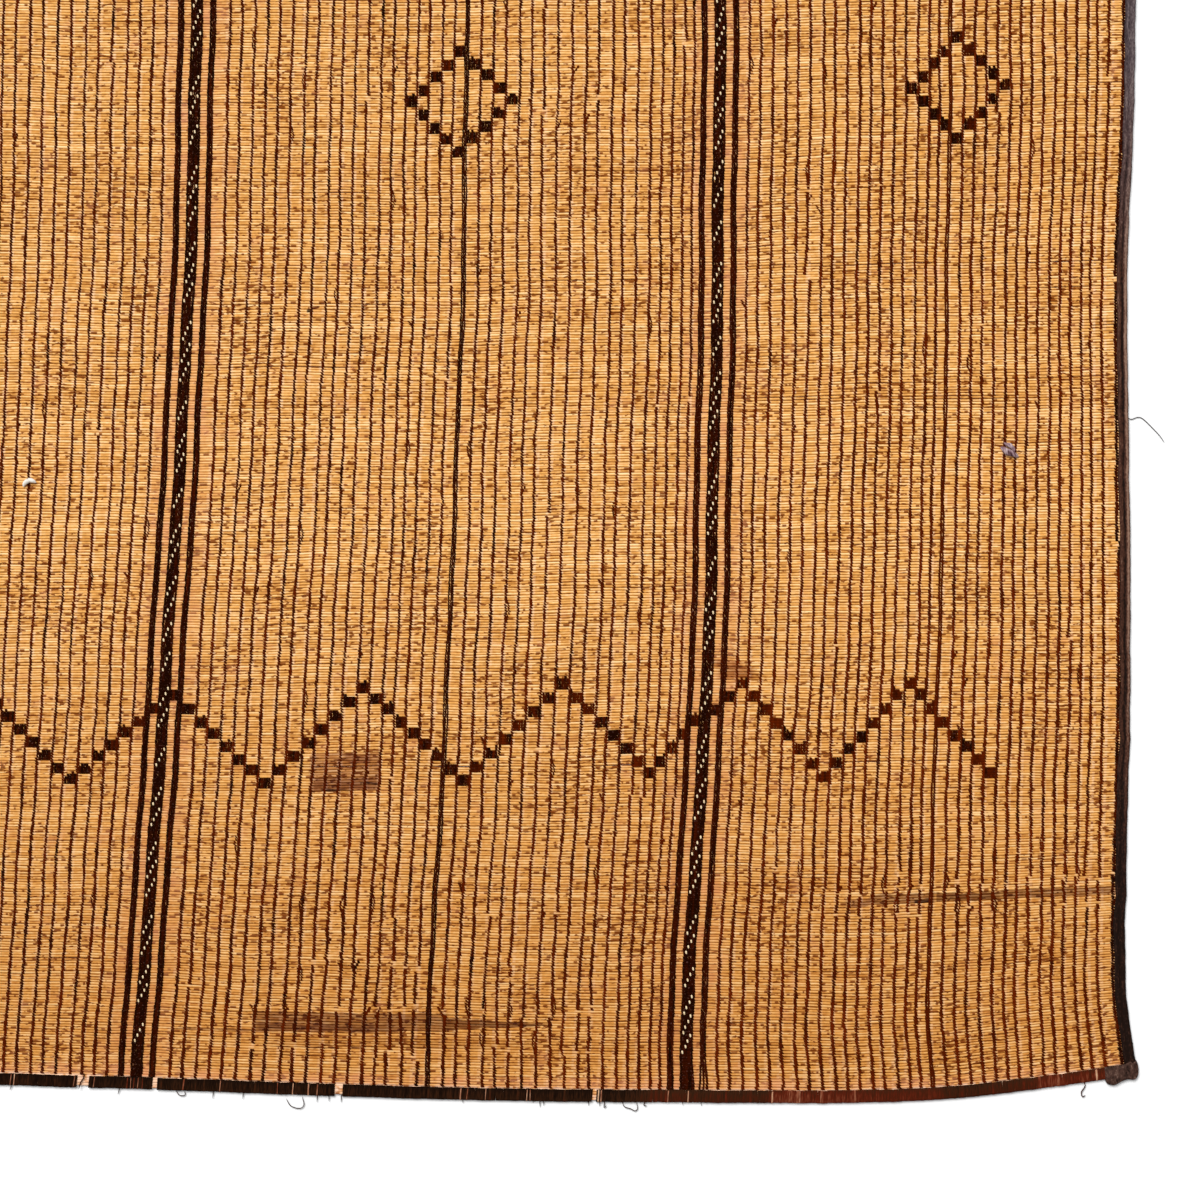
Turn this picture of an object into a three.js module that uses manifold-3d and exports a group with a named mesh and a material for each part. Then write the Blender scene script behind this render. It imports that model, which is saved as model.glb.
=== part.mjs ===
// A flat mat of thin dry grass stalks, laid side by side and laced together with leather.
// The stalks run across the mat (X) and the laces run along it (Y); it lies on the ground at Z = 0.
// Lengths are in millimetres. "Across" is the distance from the centre lace line and "along" the
// distance from the middle stalk, both as woven; the warp tables then give the mat its hand-made lean.
import * as THREE from "three";
import { mergeVertices } from "three/addons/utils/BufferGeometryUtils.js";
import Module from "manifold-3d";

const wasm = await Module();
wasm.setup();

// The mat as woven, before it was pulled out of square.
const LEFT_EDGE = -682;
const RIGHT_EDGE = 615;
const HALF_LENGTH = 917;
const FIELD_HEIGHT = 2.6;
const GAP = 0.3;

// Leather folded over the long sides, wound over the ends, and folded over the corners.
const LEATHER = 0.8;
const BINDING_HEIGHT = FIELD_HEIGHT + GAP + LEATHER;
const SIDE_WIDTH = 10.5;
const END_WIDTH = 11;
const CAP_WIDTH = 15;
const CAP_LENGTH = 31;
const RIM_SLOPE = 1.7;

// Laces wide enough to stand as strips of their own, by their distance across.
const LACE_THICKNESS = 0.6;
const LACE_END_GAP = 0.8;
const BANDS = { left: -250, right: 233 };
const BAND_PITCH = 14.6;
const BAND_SIDE_WIDTH = 5.2;
const BAND_CENTRE_WIDTH = 10.8;
const PANEL_LINES = [
  { name: "left", across: -492, width: 3.0 },
  { name: "centre", across: 0, width: 3.6 },
  { name: "right", across: 445, width: 3.0 },
];

// How far each line of laces leans sideways, and how far each stalk rises, from its place as woven.
// One row for each distance along, one column for each line across.
const WARP_ACROSS = {
  left: LEFT_EDGE,
  bandLeft: BANDS.left,
  centre: 0,
  bandRight: BANDS.right,
  lineRight: 445,
  right: RIGHT_EDGE,
};
const LEAN = [
  { along: -905, left: -31, bandLeft: -55, centre: -38, bandRight: -34, lineRight: -18, right: 1 },
  { along: -830, left: -27, bandLeft: -48, centre: -34, bandRight: -29, lineRight: -20, right: -8 },
  { along: -730, left: -22, bandLeft: -40, centre: -28, bandRight: -24, lineRight: -18, right: -8 },
  { along: -550, left: -14, bandLeft: -28, centre: -18, bandRight: -12, lineRight: -12, right: -4 },
  { along: -360, left: -8, bandLeft: -15, centre: -10, bandRight: -6, lineRight: -6, right: -5 },
  { along: -180, left: -3, bandLeft: -5, centre: -3, bandRight: -2, lineRight: -3, right: -7 },
  { along: 0, left: 0, bandLeft: 1, centre: 0, bandRight: 0, lineRight: 0, right: 0 },
  { along: 300, left: 3, bandLeft: 6, centre: 5, bandRight: 4, lineRight: 2, right: 1 },
  { along: 600, left: 2, bandLeft: 9, centre: 8, bandRight: 6, lineRight: 3, right: -2 },
  { along: 905, left: -5, bandLeft: 7, centre: 8, bandRight: 8, lineRight: 6, right: 5 },
];
const RISE = [
  { along: -905, left: 22, bandLeft: 10, centre: 1, bandRight: -2, lineRight: 0, right: 22 },
  { along: -730, left: 14, bandLeft: 5, centre: 0, bandRight: 0, lineRight: 2, right: 12 },
  { along: -550, left: 0, bandLeft: -2, centre: 0, bandRight: 2, lineRight: 3, right: 4 },
  { along: -360, left: 0, bandLeft: -1, centre: 0, bandRight: 3, lineRight: 6, right: 9 },
  { along: 0, left: 4, bandLeft: 0, centre: 0, bandRight: 5, lineRight: 13, right: 20 },
  { along: 400, left: 0, bandLeft: 0, centre: 0, bandRight: 4, lineRight: 8, right: 12 },
  { along: 905, left: -15, bandLeft: -3, centre: 0, bandRight: 0, lineRight: -5, right: -16 },
];

// Where the solids have their cross-lines, so that neighbours bend in the same places.
const STEP_ALONG = 64;
const STEP_ACROSS = 62;
const LEAST_STEP = 4;
const ARC_SEGMENTS = 4;
const SAME_POINT = 1e-4;

const COLOURS = {
  stalk: new THREE.MeshStandardMaterial({ color: 0xd1a063, roughness: 0.62, metalness: 0 }),
  blackLeather: new THREE.MeshStandardMaterial({ color: 0x2a1a15, roughness: 0.55, metalness: 0 }),
  brownLeather: new THREE.MeshStandardMaterial({ color: 0x4b3127, roughness: 0.6, metalness: 0 }),
};

// A smooth curve through (xs, ys), read at x: cubic pieces with slopes from the neighbours.
function curveAt(xs, ys, x) {
  const last = xs.length - 1;
  const slope = (i) => {
    const low = Math.max(i - 1, 0);
    const high = Math.min(i + 1, last);
    return (ys[high] - ys[low]) / (xs[high] - xs[low]);
  };
  if (x <= xs[0]) return ys[0] + (x - xs[0]) * slope(0);
  if (x >= xs[last]) return ys[last] + (x - xs[last]) * slope(last);
  const i = xs.findIndex((value, index) => index < last && x < xs[index + 1]);
  const span = xs[i + 1] - xs[i];
  const t = (x - xs[i]) / span;
  const ease = t * t * (3 - 2 * t);
  const bend = t * (1 - t) * span * (slope(i) * (1 - t) - slope(i + 1) * t);
  return ys[i] * (1 - ease) + ys[i + 1] * ease + bend;
}

// Reads a warp table at a place on the mat: along each column first, then across.
function tableAt(table, across, along) {
  const rows = table.map((row) => row.along);
  const names = Object.keys(WARP_ACROSS);
  const values = names.map((name) => curveAt(rows, table.map((row) => row[name]), along));
  return curveAt(Object.values(WARP_ACROSS), values, across);
}

// Moves every vertex from its place as woven to its place on the finished mat.
function warp(geometry) {
  const place = geometry.getAttribute("position");
  for (let i = 0; i < place.count; i++) {
    const across = place.getX(i);
    const along = place.getY(i);
    place.setX(i, across + tableAt(LEAN, across, along));
    place.setY(i, along + tableAt(RISE, across, along));
  }
  geometry.deleteAttribute("uv");
  geometry.deleteAttribute("normal");
  const merged = mergeVertices(geometry, SAME_POINT);
  const flat = merged.toNonIndexed();
  flat.computeVertexNormals();
  return flat;
}

// Cross-lines from start to end, on the shared lines between them.
function stations(start, end, step) {
  const lines = [start];
  for (let line = Math.ceil(start / step) * step; line < end; line += step) {
    const clear = Math.min(line - lines[lines.length - 1], end - line);
    if (clear > LEAST_STEP) lines.push(line);
  }
  lines.push(end);
  return lines;
}

// Moves the evenly spaced layers of a geometry, along one axis, onto the given stations.
function spread(geometry, axis, lines) {
  const place = geometry.getAttribute("position");
  const box = new THREE.Box3().setFromBufferAttribute(place);
  const low = box.min.getComponent(axis);
  const span = box.max.getComponent(axis) - low;
  for (let i = 0; i < place.count; i++) {
    const layer = Math.round(((place.getComponent(i, axis) - low) / span) * (lines.length - 1));
    place.setComponent(i, axis, lines[layer]);
  }
}

// The section of a folded strip: x is 0 at the fold and runs out of the mat, y is the height.
function foldSection(width) {
  const outer = BINDING_HEIGHT / 2;
  const inner = outer - LEATHER;
  const section = new THREE.Shape();
  section.moveTo(-width, 0);
  section.absarc(-outer, outer, outer, -Math.PI / 2, Math.PI / 2, false);
  section.lineTo(-width, BINDING_HEIGHT);
  section.lineTo(-width, BINDING_HEIGHT - LEATHER);
  section.absarc(-outer, outer, inner, Math.PI / 2, -Math.PI / 2, true);
  section.lineTo(-width, LEATHER);
  section.closePath();
  return section;
}

// A strip folded over an edge. Its own length runs towards -Y before it is turned to its side.
function foldedStrip(width, lines) {
  const geometry = new THREE.ExtrudeGeometry(foldSection(width), {
    depth: 1,
    steps: lines.length - 1,
    bevelEnabled: false,
    curveSegments: ARC_SEGMENTS,
  });
  geometry.rotateX(Math.PI / 2);
  return geometry;
}

// The folded strip on a long side; side is 1 on the right and -1 on the left.
function sideBinding(side) {
  const reach = HALF_LENGTH - CAP_WIDTH - GAP;
  const lines = stations(-reach, reach, STEP_ALONG);
  const geometry = foldedStrip(SIDE_WIDTH, lines);
  if (side < 0) geometry.rotateZ(Math.PI);
  spread(geometry, 1, lines);
  geometry.translate(side > 0 ? RIGHT_EDGE : LEFT_EDGE, 0, 0);
  return warp(geometry);
}

// The leather wound over an end; end is 1 at the back and -1 at the front.
function endBinding(end) {
  const lines = stations(LEFT_EDGE + CAP_LENGTH + GAP, RIGHT_EDGE - CAP_LENGTH - GAP, STEP_ACROSS);
  const geometry = foldedStrip(END_WIDTH, lines);
  geometry.rotateZ((end * Math.PI) / 2);
  spread(geometry, 0, lines);
  geometry.translate(0, end * HALF_LENGTH, 0);
  return warp(geometry);
}

// Makes a solid that can be cut, from a closed geometry.
function solidOf(geometry) {
  geometry.deleteAttribute("uv");
  geometry.deleteAttribute("normal");
  const merged = mergeVertices(geometry, SAME_POINT);
  return new wasm.Manifold(
    new wasm.Mesh({
      numProp: 3,
      vertProperties: merged.getAttribute("position").array,
      triVerts: new Uint32Array(merged.index.array),
    }),
  );
}

// Turns a solid back into a geometry.
function geometryOf(solid) {
  const mesh = solid.getMesh();
  const geometry = new THREE.BufferGeometry();
  geometry.setAttribute("position", new THREE.BufferAttribute(mesh.vertProperties, 3));
  geometry.setIndex(new THREE.BufferAttribute(mesh.triVerts, 1));
  return geometry;
}

// The patch folded over a corner: a rounded block with a slot that takes the mat's corner.
function cornerCap(side, end) {
  const outer = BINDING_HEIGHT / 2;
  const section = new THREE.Shape();
  section.moveTo(-CAP_WIDTH, 0);
  section.absarc(-outer, outer, outer, -Math.PI / 2, Math.PI / 2, false);
  section.lineTo(-CAP_WIDTH, BINDING_HEIGHT);
  section.closePath();
  const options = { depth: CAP_LENGTH, steps: 1, bevelEnabled: false, curveSegments: ARC_SEGMENTS };
  const block = new THREE.ExtrudeGeometry(section, options).rotateX(Math.PI / 2);
  const slotHeight = BINDING_HEIGHT - 2 * LEATHER;
  const slot = new THREE.BoxGeometry(CAP_WIDTH, CAP_LENGTH, slotHeight);
  const closedEnd = -side * end * LEATHER;
  slot.translate(-CAP_WIDTH / 2 - LEATHER - GAP, -CAP_LENGTH / 2 - closedEnd, outer);
  const cap = geometryOf(solidOf(block).subtract(solidOf(slot)));
  cap.translate(0, CAP_LENGTH / 2, 0);
  cap.rotateZ((end * Math.PI) / 2);
  const middle = side > 0 ? RIGHT_EDGE - CAP_LENGTH / 2 : LEFT_EDGE + CAP_LENGTH / 2;
  cap.translate(middle, end * HALF_LENGTH, 0);
  return warp(cap);
}

// The laced stalks: one thin slab whose underside steps up where the leather is folded under it.
function stalkField() {
  const inFold = BINDING_HEIGHT / 2 + GAP / 3;
  const acrossRim = [inFold, SIDE_WIDTH + GAP, SIDE_WIDTH + GAP + RIM_SLOPE];
  const alongRim = [inFold, CAP_WIDTH + GAP, CAP_WIDTH + GAP + RIM_SLOPE];
  const across = [
    ...acrossRim.map((inset) => LEFT_EDGE + inset),
    ...stations(LEFT_EDGE + CAP_LENGTH, RIGHT_EDGE - CAP_LENGTH, STEP_ACROSS),
    ...acrossRim.map((inset) => RIGHT_EDGE - inset).reverse(),
  ];
  const along = [
    ...alongRim.map((inset) => -HALF_LENGTH + inset),
    ...stations(-HALF_LENGTH + 2 * CAP_WIDTH, HALF_LENGTH - 2 * CAP_WIDTH, STEP_ALONG),
    ...alongRim.map((inset) => HALF_LENGTH - inset).reverse(),
  ];
  const geometry = new THREE.BoxGeometry(1, 1, FIELD_HEIGHT, across.length - 1, along.length - 1, 1);
  spread(geometry, 0, across);
  spread(geometry, 1, along);
  const place = geometry.getAttribute("position");
  for (let i = 0; i < place.count; i++) {
    const onTop = place.getZ(i) > 0;
    const insideSides = place.getX(i) >= across[2] && place.getX(i) <= across[across.length - 3];
    const insideEnds = place.getY(i) >= along[2] && place.getY(i) <= along[along.length - 3];
    const underside = insideSides && insideEnds ? 0 : LEATHER + GAP;
    place.setZ(i, onTop ? FIELD_HEIGHT : underside);
  }
  return warp(geometry);
}

// A flat lace lying on the stalks from one end binding to the other.
function laceStrip(across, width) {
  const reach = HALF_LENGTH - END_WIDTH - LACE_END_GAP;
  const lines = stations(-reach, reach, STEP_ALONG);
  const geometry = new THREE.BoxGeometry(width, 1, LACE_THICKNESS, 1, lines.length - 1, 1);
  spread(geometry, 1, lines);
  geometry.translate(across, 0, FIELD_HEIGHT + GAP + LACE_THICKNESS / 2);
  return warp(geometry);
}

const mat = new THREE.Group();

// Adds one piece to the mat.
function add(name, geometry, material) {
  const mesh = new THREE.Mesh(geometry, material);
  mesh.name = name;
  mat.add(mesh);
}

add("stalk_field", stalkField(), COLOURS.stalk);
for (const [name, across] of Object.entries(BANDS)) {
  add(`band_${name}_lace_1`, laceStrip(across - BAND_PITCH, BAND_SIDE_WIDTH), COLOURS.blackLeather);
  add(`band_${name}_lace_2`, laceStrip(across, BAND_CENTRE_WIDTH), COLOURS.blackLeather);
  add(`band_${name}_lace_3`, laceStrip(across + BAND_PITCH, BAND_SIDE_WIDTH), COLOURS.blackLeather);
}
for (const line of PANEL_LINES) {
  add(`panel_line_${line.name}`, laceStrip(line.across, line.width), COLOURS.blackLeather);
}
for (const [sideName, side] of [["left", -1], ["right", 1]]) {
  add(`side_binding_${sideName}`, sideBinding(side), COLOURS.brownLeather);
  for (const [endName, end] of [["front", -1], ["back", 1]]) {
    add(`corner_cap_${endName}_${sideName}`, cornerCap(side, end), COLOURS.brownLeather);
  }
}
add("end_binding_front", endBinding(-1), COLOURS.blackLeather);
add("end_binding_back", endBinding(1), COLOURS.blackLeather);

// The origin is under the middle of the mat's box, on the ground.
const middle = new THREE.Box3().setFromObject(mat).getCenter(new THREE.Vector3());
mat.position.set(-middle.x, -middle.y, 0);

export default mat;
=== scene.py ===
"""A flat mat of dry grass stalks laced together with dark leather, dressed around its frame.

The stalks run across the mat (X) and the laces run along it (Y). Sizes are in millimetres until a
piece is made, and "across" and "along" are distances from the mat's middle as it was woven, before
its hand-made lean. The warp tables turn them into places on the finished mat.
"""

import logging
import math
from dataclasses import dataclass, field, replace
from enum import Enum
from typing import Any

import bpy
import numpy as np
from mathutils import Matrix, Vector


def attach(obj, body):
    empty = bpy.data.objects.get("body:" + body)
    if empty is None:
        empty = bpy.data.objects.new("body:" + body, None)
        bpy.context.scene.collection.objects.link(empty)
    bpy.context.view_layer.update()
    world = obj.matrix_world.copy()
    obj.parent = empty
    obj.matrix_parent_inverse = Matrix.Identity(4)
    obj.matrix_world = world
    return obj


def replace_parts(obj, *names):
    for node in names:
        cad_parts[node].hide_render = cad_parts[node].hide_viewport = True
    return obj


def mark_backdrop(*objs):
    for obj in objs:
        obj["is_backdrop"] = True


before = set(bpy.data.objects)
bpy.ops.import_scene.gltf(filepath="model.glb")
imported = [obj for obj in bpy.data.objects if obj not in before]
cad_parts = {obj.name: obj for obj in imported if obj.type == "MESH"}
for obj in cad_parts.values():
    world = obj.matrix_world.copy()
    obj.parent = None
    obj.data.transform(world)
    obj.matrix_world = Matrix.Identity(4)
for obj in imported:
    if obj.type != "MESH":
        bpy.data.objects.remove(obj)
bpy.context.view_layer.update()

log = logging.getLogger("mat")

MM = 0.001
BODY = "root"

# The mat as woven.
LEFT_EDGE = -682.0
RIGHT_EDGE = 615.0
HALF_LENGTH = 917.0
FIELD_TOP = 2.6
STALK_PITCH = 2.5
STALK_COUNT = 732
FIRST_STALK = -914.0
BINDING_HEIGHT = 3.7
LOWEST = 0.02

# The first and the last stalk that the laces cross.
FIRST_LACED = 4
LAST_LACED = STALK_COUNT - 1 - FIRST_LACED


class Side(Enum):
    """The mat's long sides."""

    LEFT = -1
    RIGHT = 1


class End(Enum):
    """The mat's two ends."""

    FRONT = -1
    BACK = 1


class Line(Enum):
    """The kinds of lace line, from the narrowest to the widest."""

    THIN = 1
    PANEL = 2
    CENTRE = 3
    BAND_SIDE = 4
    BAND_CENTRE = 5


# Tables


@dataclass(frozen=True)
class Level:
    """A point of a plain scale: a place, and the value there."""

    place: float
    value: float


def column(table: tuple[Any, ...], name: str) -> np.ndarray:
    """Gives one column of a table as numbers."""
    return np.array([getattr(row, name) for row in table], float)


def read_scale(scale: tuple[Level, ...], at: Any) -> Any:
    """Reads a value off a scale, which is level beyond its ends."""
    return np.interp(at, column(scale, "place"), column(scale, "value"))


# The warp


@dataclass(frozen=True)
class WarpRow:
    """How far the net is moved at one distance along, in a column for each line across."""

    along: float
    left: float
    band_left: float
    centre: float
    band_right: float
    line_right: float
    right: float


COLUMNS_ACROSS = (LEFT_EDGE, -250.0, 0.0, 233.0, 445.0, RIGHT_EDGE)
LEAN = (
    WarpRow(-905, -31, -55, -38, -34, -18, 1),
    WarpRow(-830, -27, -48, -34, -29, -20, -8),
    WarpRow(-730, -22, -40, -28, -24, -18, -8),
    WarpRow(-550, -14, -28, -18, -12, -12, -4),
    WarpRow(-360, -8, -15, -10, -6, -6, -5),
    WarpRow(-180, -3, -5, -3, -2, -3, -7),
    WarpRow(0, 0, 1, 0, 0, 0, 0),
    WarpRow(300, 3, 6, 5, 4, 2, 1),
    WarpRow(600, 2, 9, 8, 6, 3, -2),
    WarpRow(905, -5, 7, 8, 8, 6, 5),
)
RISE = (
    WarpRow(-905, 22, 10, 1, -2, 0, 22),
    WarpRow(-730, 14, 5, 0, 0, 2, 12),
    WarpRow(-550, 0, -2, 0, 2, 3, 4),
    WarpRow(-360, 0, -1, 0, 3, 6, 9),
    WarpRow(0, 4, 0, 0, 5, 13, 20),
    WarpRow(400, 0, 0, 0, 4, 8, 12),
    WarpRow(905, -15, -3, 0, 0, -5, -16),
)


# How far the laces swing sideways over the last hand's breadth in front, by their place across.
FRONT_FLARE = (
    Level(LEFT_EDGE + 14.0, 0.0),
    Level(-620.0, 2.5),
    Level(-300.0, 2.6),
    Level(-160.0, 0.4),
    Level(-60.0, 0.8),
    Level(0.0, 2.4),
    Level(110.0, 3.4),
    Level(233.0, 3.6),
    Level(320.0, 4.0),
    Level(400.0, 3.0),
    Level(470.0, 1.4),
    Level(550.0, -2.4),
    Level(RIGHT_EDGE - 14.0, 0.0),
)


@dataclass(frozen=True)
class Wave:
    """A small wave of the stalks or laces: its part of the sway's size, its lengths along and across
    for a turn of one radian, and where it starts."""

    size: float
    along: float
    across: float
    start: float


SIDEWAYS = (Wave(1.0, 37.0, 190.0, 0.0), Wave(0.7, 15.5, -83.0, 1.3))
LENGTHWAYS = (Wave(1.0, 170.0, 41.0, 0.0), Wave(0.6, -61.0, 17.3, 0.4))


def smooth_curve(knots: np.ndarray, values: np.ndarray, at: np.ndarray) -> np.ndarray:
    """Reads a smooth curve through points, straight beyond its ends.

    Args:
        knots: the points' places, rising.
        values: the points' values, one row for each knot; further axes match at.
        at: the places to read.

    Returns:
        The curve's values, shaped as at.
    """
    last = len(knots) - 1
    low = np.maximum(np.arange(last + 1) - 1, 0)
    high = np.minimum(np.arange(last + 1) + 1, last)
    wide = (knots[high] - knots[low]).reshape(-1, *([1] * (values.ndim - 1)))
    slopes = (values[high] - values[low]) / wide
    index = np.clip(np.searchsorted(knots, at, side="right") - 1, 0, last - 1)

    def pick(table: np.ndarray, which: np.ndarray) -> np.ndarray:
        """Reads a table at an index for each place."""
        if table.ndim == 1:
            return table[which]
        return np.take_along_axis(table, which[None], axis=0)[0]

    span = knots[index + 1] - knots[index]
    part = np.clip((at - knots[index]) / span, 0, 1)
    ease = part * part * (3 - 2 * part)
    start, stop = pick(values, index), pick(values, index + 1)
    slope_start, slope_stop = pick(slopes, index), pick(slopes, index + 1)
    bend = part * (1 - part) * span * (slope_start * (1 - part) - slope_stop * part)
    before = np.minimum(at - knots[0], 0) * slope_start
    after = np.maximum(at - knots[-1], 0) * slope_stop
    return start * (1 - ease) + stop * ease + bend + before + after


@dataclass
class Warp:
    """The net of lines across and along, and where it lies on the finished mat."""

    lean: tuple[WarpRow, ...] = LEAN
    rise: tuple[WarpRow, ...] = RISE
    sway_along: float = 0.7
    sway_across: float = 0.5
    calm_edge: float = 12.0
    calm_reach: float = 60.0
    flare_start: float = -840.0
    flare_reach: float = 60.0
    middle: tuple[float, float] = (0.0, 0.0)

    def __post_init__(self) -> None:
        """Finds the middle of the outline's box, where the frame has its origin."""
        edge_along = np.linspace(-HALF_LENGTH, HALF_LENGTH, 200)
        edge_across = np.linspace(LEFT_EDGE, RIGHT_EDGE, 200)
        low_x, _ = self.lay(np.full(200, LEFT_EDGE), edge_along)
        high_x, _ = self.lay(np.full(200, RIGHT_EDGE), edge_along)
        _, low_y = self.lay(edge_across, np.full(200, -HALF_LENGTH))
        _, high_y = self.lay(edge_across, np.full(200, HALF_LENGTH))
        self.middle = ((low_x.min() + high_x.max()) / 2, (low_y.min() + high_y.max()) / 2)

    def shift(self, table: tuple[WarpRow, ...], across: np.ndarray, along: np.ndarray) -> np.ndarray:
        """Reads a warp table.

        Args:
            table: the table of shifts.
            across: the places across.
            along: the places along, of the same shape.

        Returns:
            The shift at each place.
        """
        knots = column(table, "along")
        names = ("left", "band_left", "centre", "band_right", "line_right", "right")
        columns = [smooth_curve(knots, column(table, name), along) for name in names]
        return smooth_curve(np.array(COLUMNS_ACROSS), np.stack(columns), across)

    def lay(self, across: np.ndarray, along: np.ndarray) -> tuple[np.ndarray, np.ndarray]:
        """Turns places as woven into places on the finished mat.

        Args:
            across: the places across.
            along: the places along.

        Returns:
            X and Y in the frame.
        """
        across, along = np.broadcast_arrays(np.asarray(across, float), np.asarray(along, float))
        x = across + self.shift(self.lean, across, along) - self.middle[0]
        y = along + self.shift(self.rise, across, along) - self.middle[1]
        return x, y

    def sway(self, across: np.ndarray, along: np.ndarray) -> tuple[np.ndarray, np.ndarray]:
        """Gives the small shared waves of stalks and laces, which die out at the bound edges.

        Args:
            across: the places across.
            along: the places along.

        Returns:
            The waves across and along.
        """
        inset = np.minimum(across - LEFT_EDGE, RIGHT_EDGE - across)
        inset = np.minimum(inset, HALF_LENGTH - np.abs(along))
        calm = np.clip((inset - self.calm_edge) / self.calm_reach, 0, 1)
        front = np.clip((self.flare_start - along) / self.flare_reach, 0, 1) ** 1.5
        sideways, lengthways = (
            sum(w.size * np.sin(along / w.along + across / w.across + w.start) for w in waves)
            for waves in (SIDEWAYS, LENGTHWAYS)
        )
        flare = read_scale(FRONT_FLARE, across) * front
        return self.sway_across * calm * sideways + flare, self.sway_along * calm * lengthways

    def points(
        self, across: np.ndarray, along: np.ndarray, height: Any, swaying: bool = False
    ) -> np.ndarray:
        """Turns places as woven, with their heights, into points of the finished mat.

        Args:
            across: the places across.
            along: the places along.
            height: the heights over the floor, in a shape that fits.
            swaying: whether they follow the small waves of stalks and laces.

        Returns:
            The points, with X, Y and Z on their last axis.
        """
        if swaying:
            side, forth = self.sway(across, along)
            across, along = across + side, along + forth
        x, y = self.lay(across, along)
        return np.stack([x, y, np.broadcast_to(height, x.shape)], axis=-1)


# Lace lines


@dataclass(frozen=True)
class Anchor:
    """A lace line, counted from the centre one, and its distance across."""

    line: int
    across: float


ANCHORS = (
    Anchor(-55, -670.8),
    Anchor(-54, -657.2),
    Anchor(-48, -582.4),
    Anchor(-41, -503.5),
    Anchor(-40, -492.0),
    Anchor(-39, -480.5),
    Anchor(-35, -427.5),
    Anchor(-30, -364.1),
    Anchor(-26, -313.4),
    Anchor(-23, -277.4),
    Anchor(-22, -264.6),
    Anchor(-21, -250.0),
    Anchor(-20, -235.4),
    Anchor(-19, -220.2),
    Anchor(-14, -161.4),
    Anchor(-10, -113.7),
    Anchor(-5, -55.5),
    Anchor(-1, -11.4),
    Anchor(0, 0.0),
    Anchor(1, 13.0),
    Anchor(5, 60.2),
    Anchor(9, 109.6),
    Anchor(14, 170.0),
    Anchor(18, 210.0),
    Anchor(19, 218.4),
    Anchor(20, 233.0),
    Anchor(21, 247.6),
    Anchor(22, 259.6),
    Anchor(27, 316.6),
    Anchor(32, 372.5),
    Anchor(38, 435.6),
    Anchor(39, 445.0),
    Anchor(40, 457.2),
    Anchor(45, 511.0),
    Anchor(49, 551.4),
    Anchor(53, 591.0),
    Anchor(54, 603.8),
)
RING_LINES = (-55, -51, -48, -44, -40, -37, -33, -30, -26, -23, -22, -20, -19, -14, -10, -5, -1, 1)
RING_LINES += (5, 9, 14, 18, 19, 21, 22, 25, 29, 32, 36, 40, 45, 49, 54)
LINE_KINDS = {
    -40: Line.PANEL,
    -22: Line.BAND_SIDE,
    -21: Line.BAND_CENTRE,
    -20: Line.BAND_SIDE,
    0: Line.CENTRE,
    19: Line.BAND_SIDE,
    20: Line.BAND_CENTRE,
    21: Line.BAND_SIDE,
    39: Line.PANEL,
}
LINE_WIDTHS = {
    Line.THIN: 2.3,
    Line.PANEL: 3.9,
    Line.CENTRE: 4.6,
    Line.BAND_SIDE: 5.6,
    Line.BAND_CENTRE: 11.0,
}


def line_across(line: float) -> float:
    """Gives a lace line's distance across; a half counts as the middle of a gap."""
    return float(np.interp(line, column(ANCHORS, "line"), column(ANCHORS, "across")))


def line_kind(line: int) -> Line:
    """Gives the kind of a lace line."""
    return LINE_KINDS.get(line, Line.THIN)


def stalk_at(along: float) -> int:
    """Gives the number of the stalk nearest to a distance along."""
    return int(np.clip(round((along - FIRST_STALK) / STALK_PITCH), 0, STALK_COUNT - 1))


# Meshes


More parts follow.
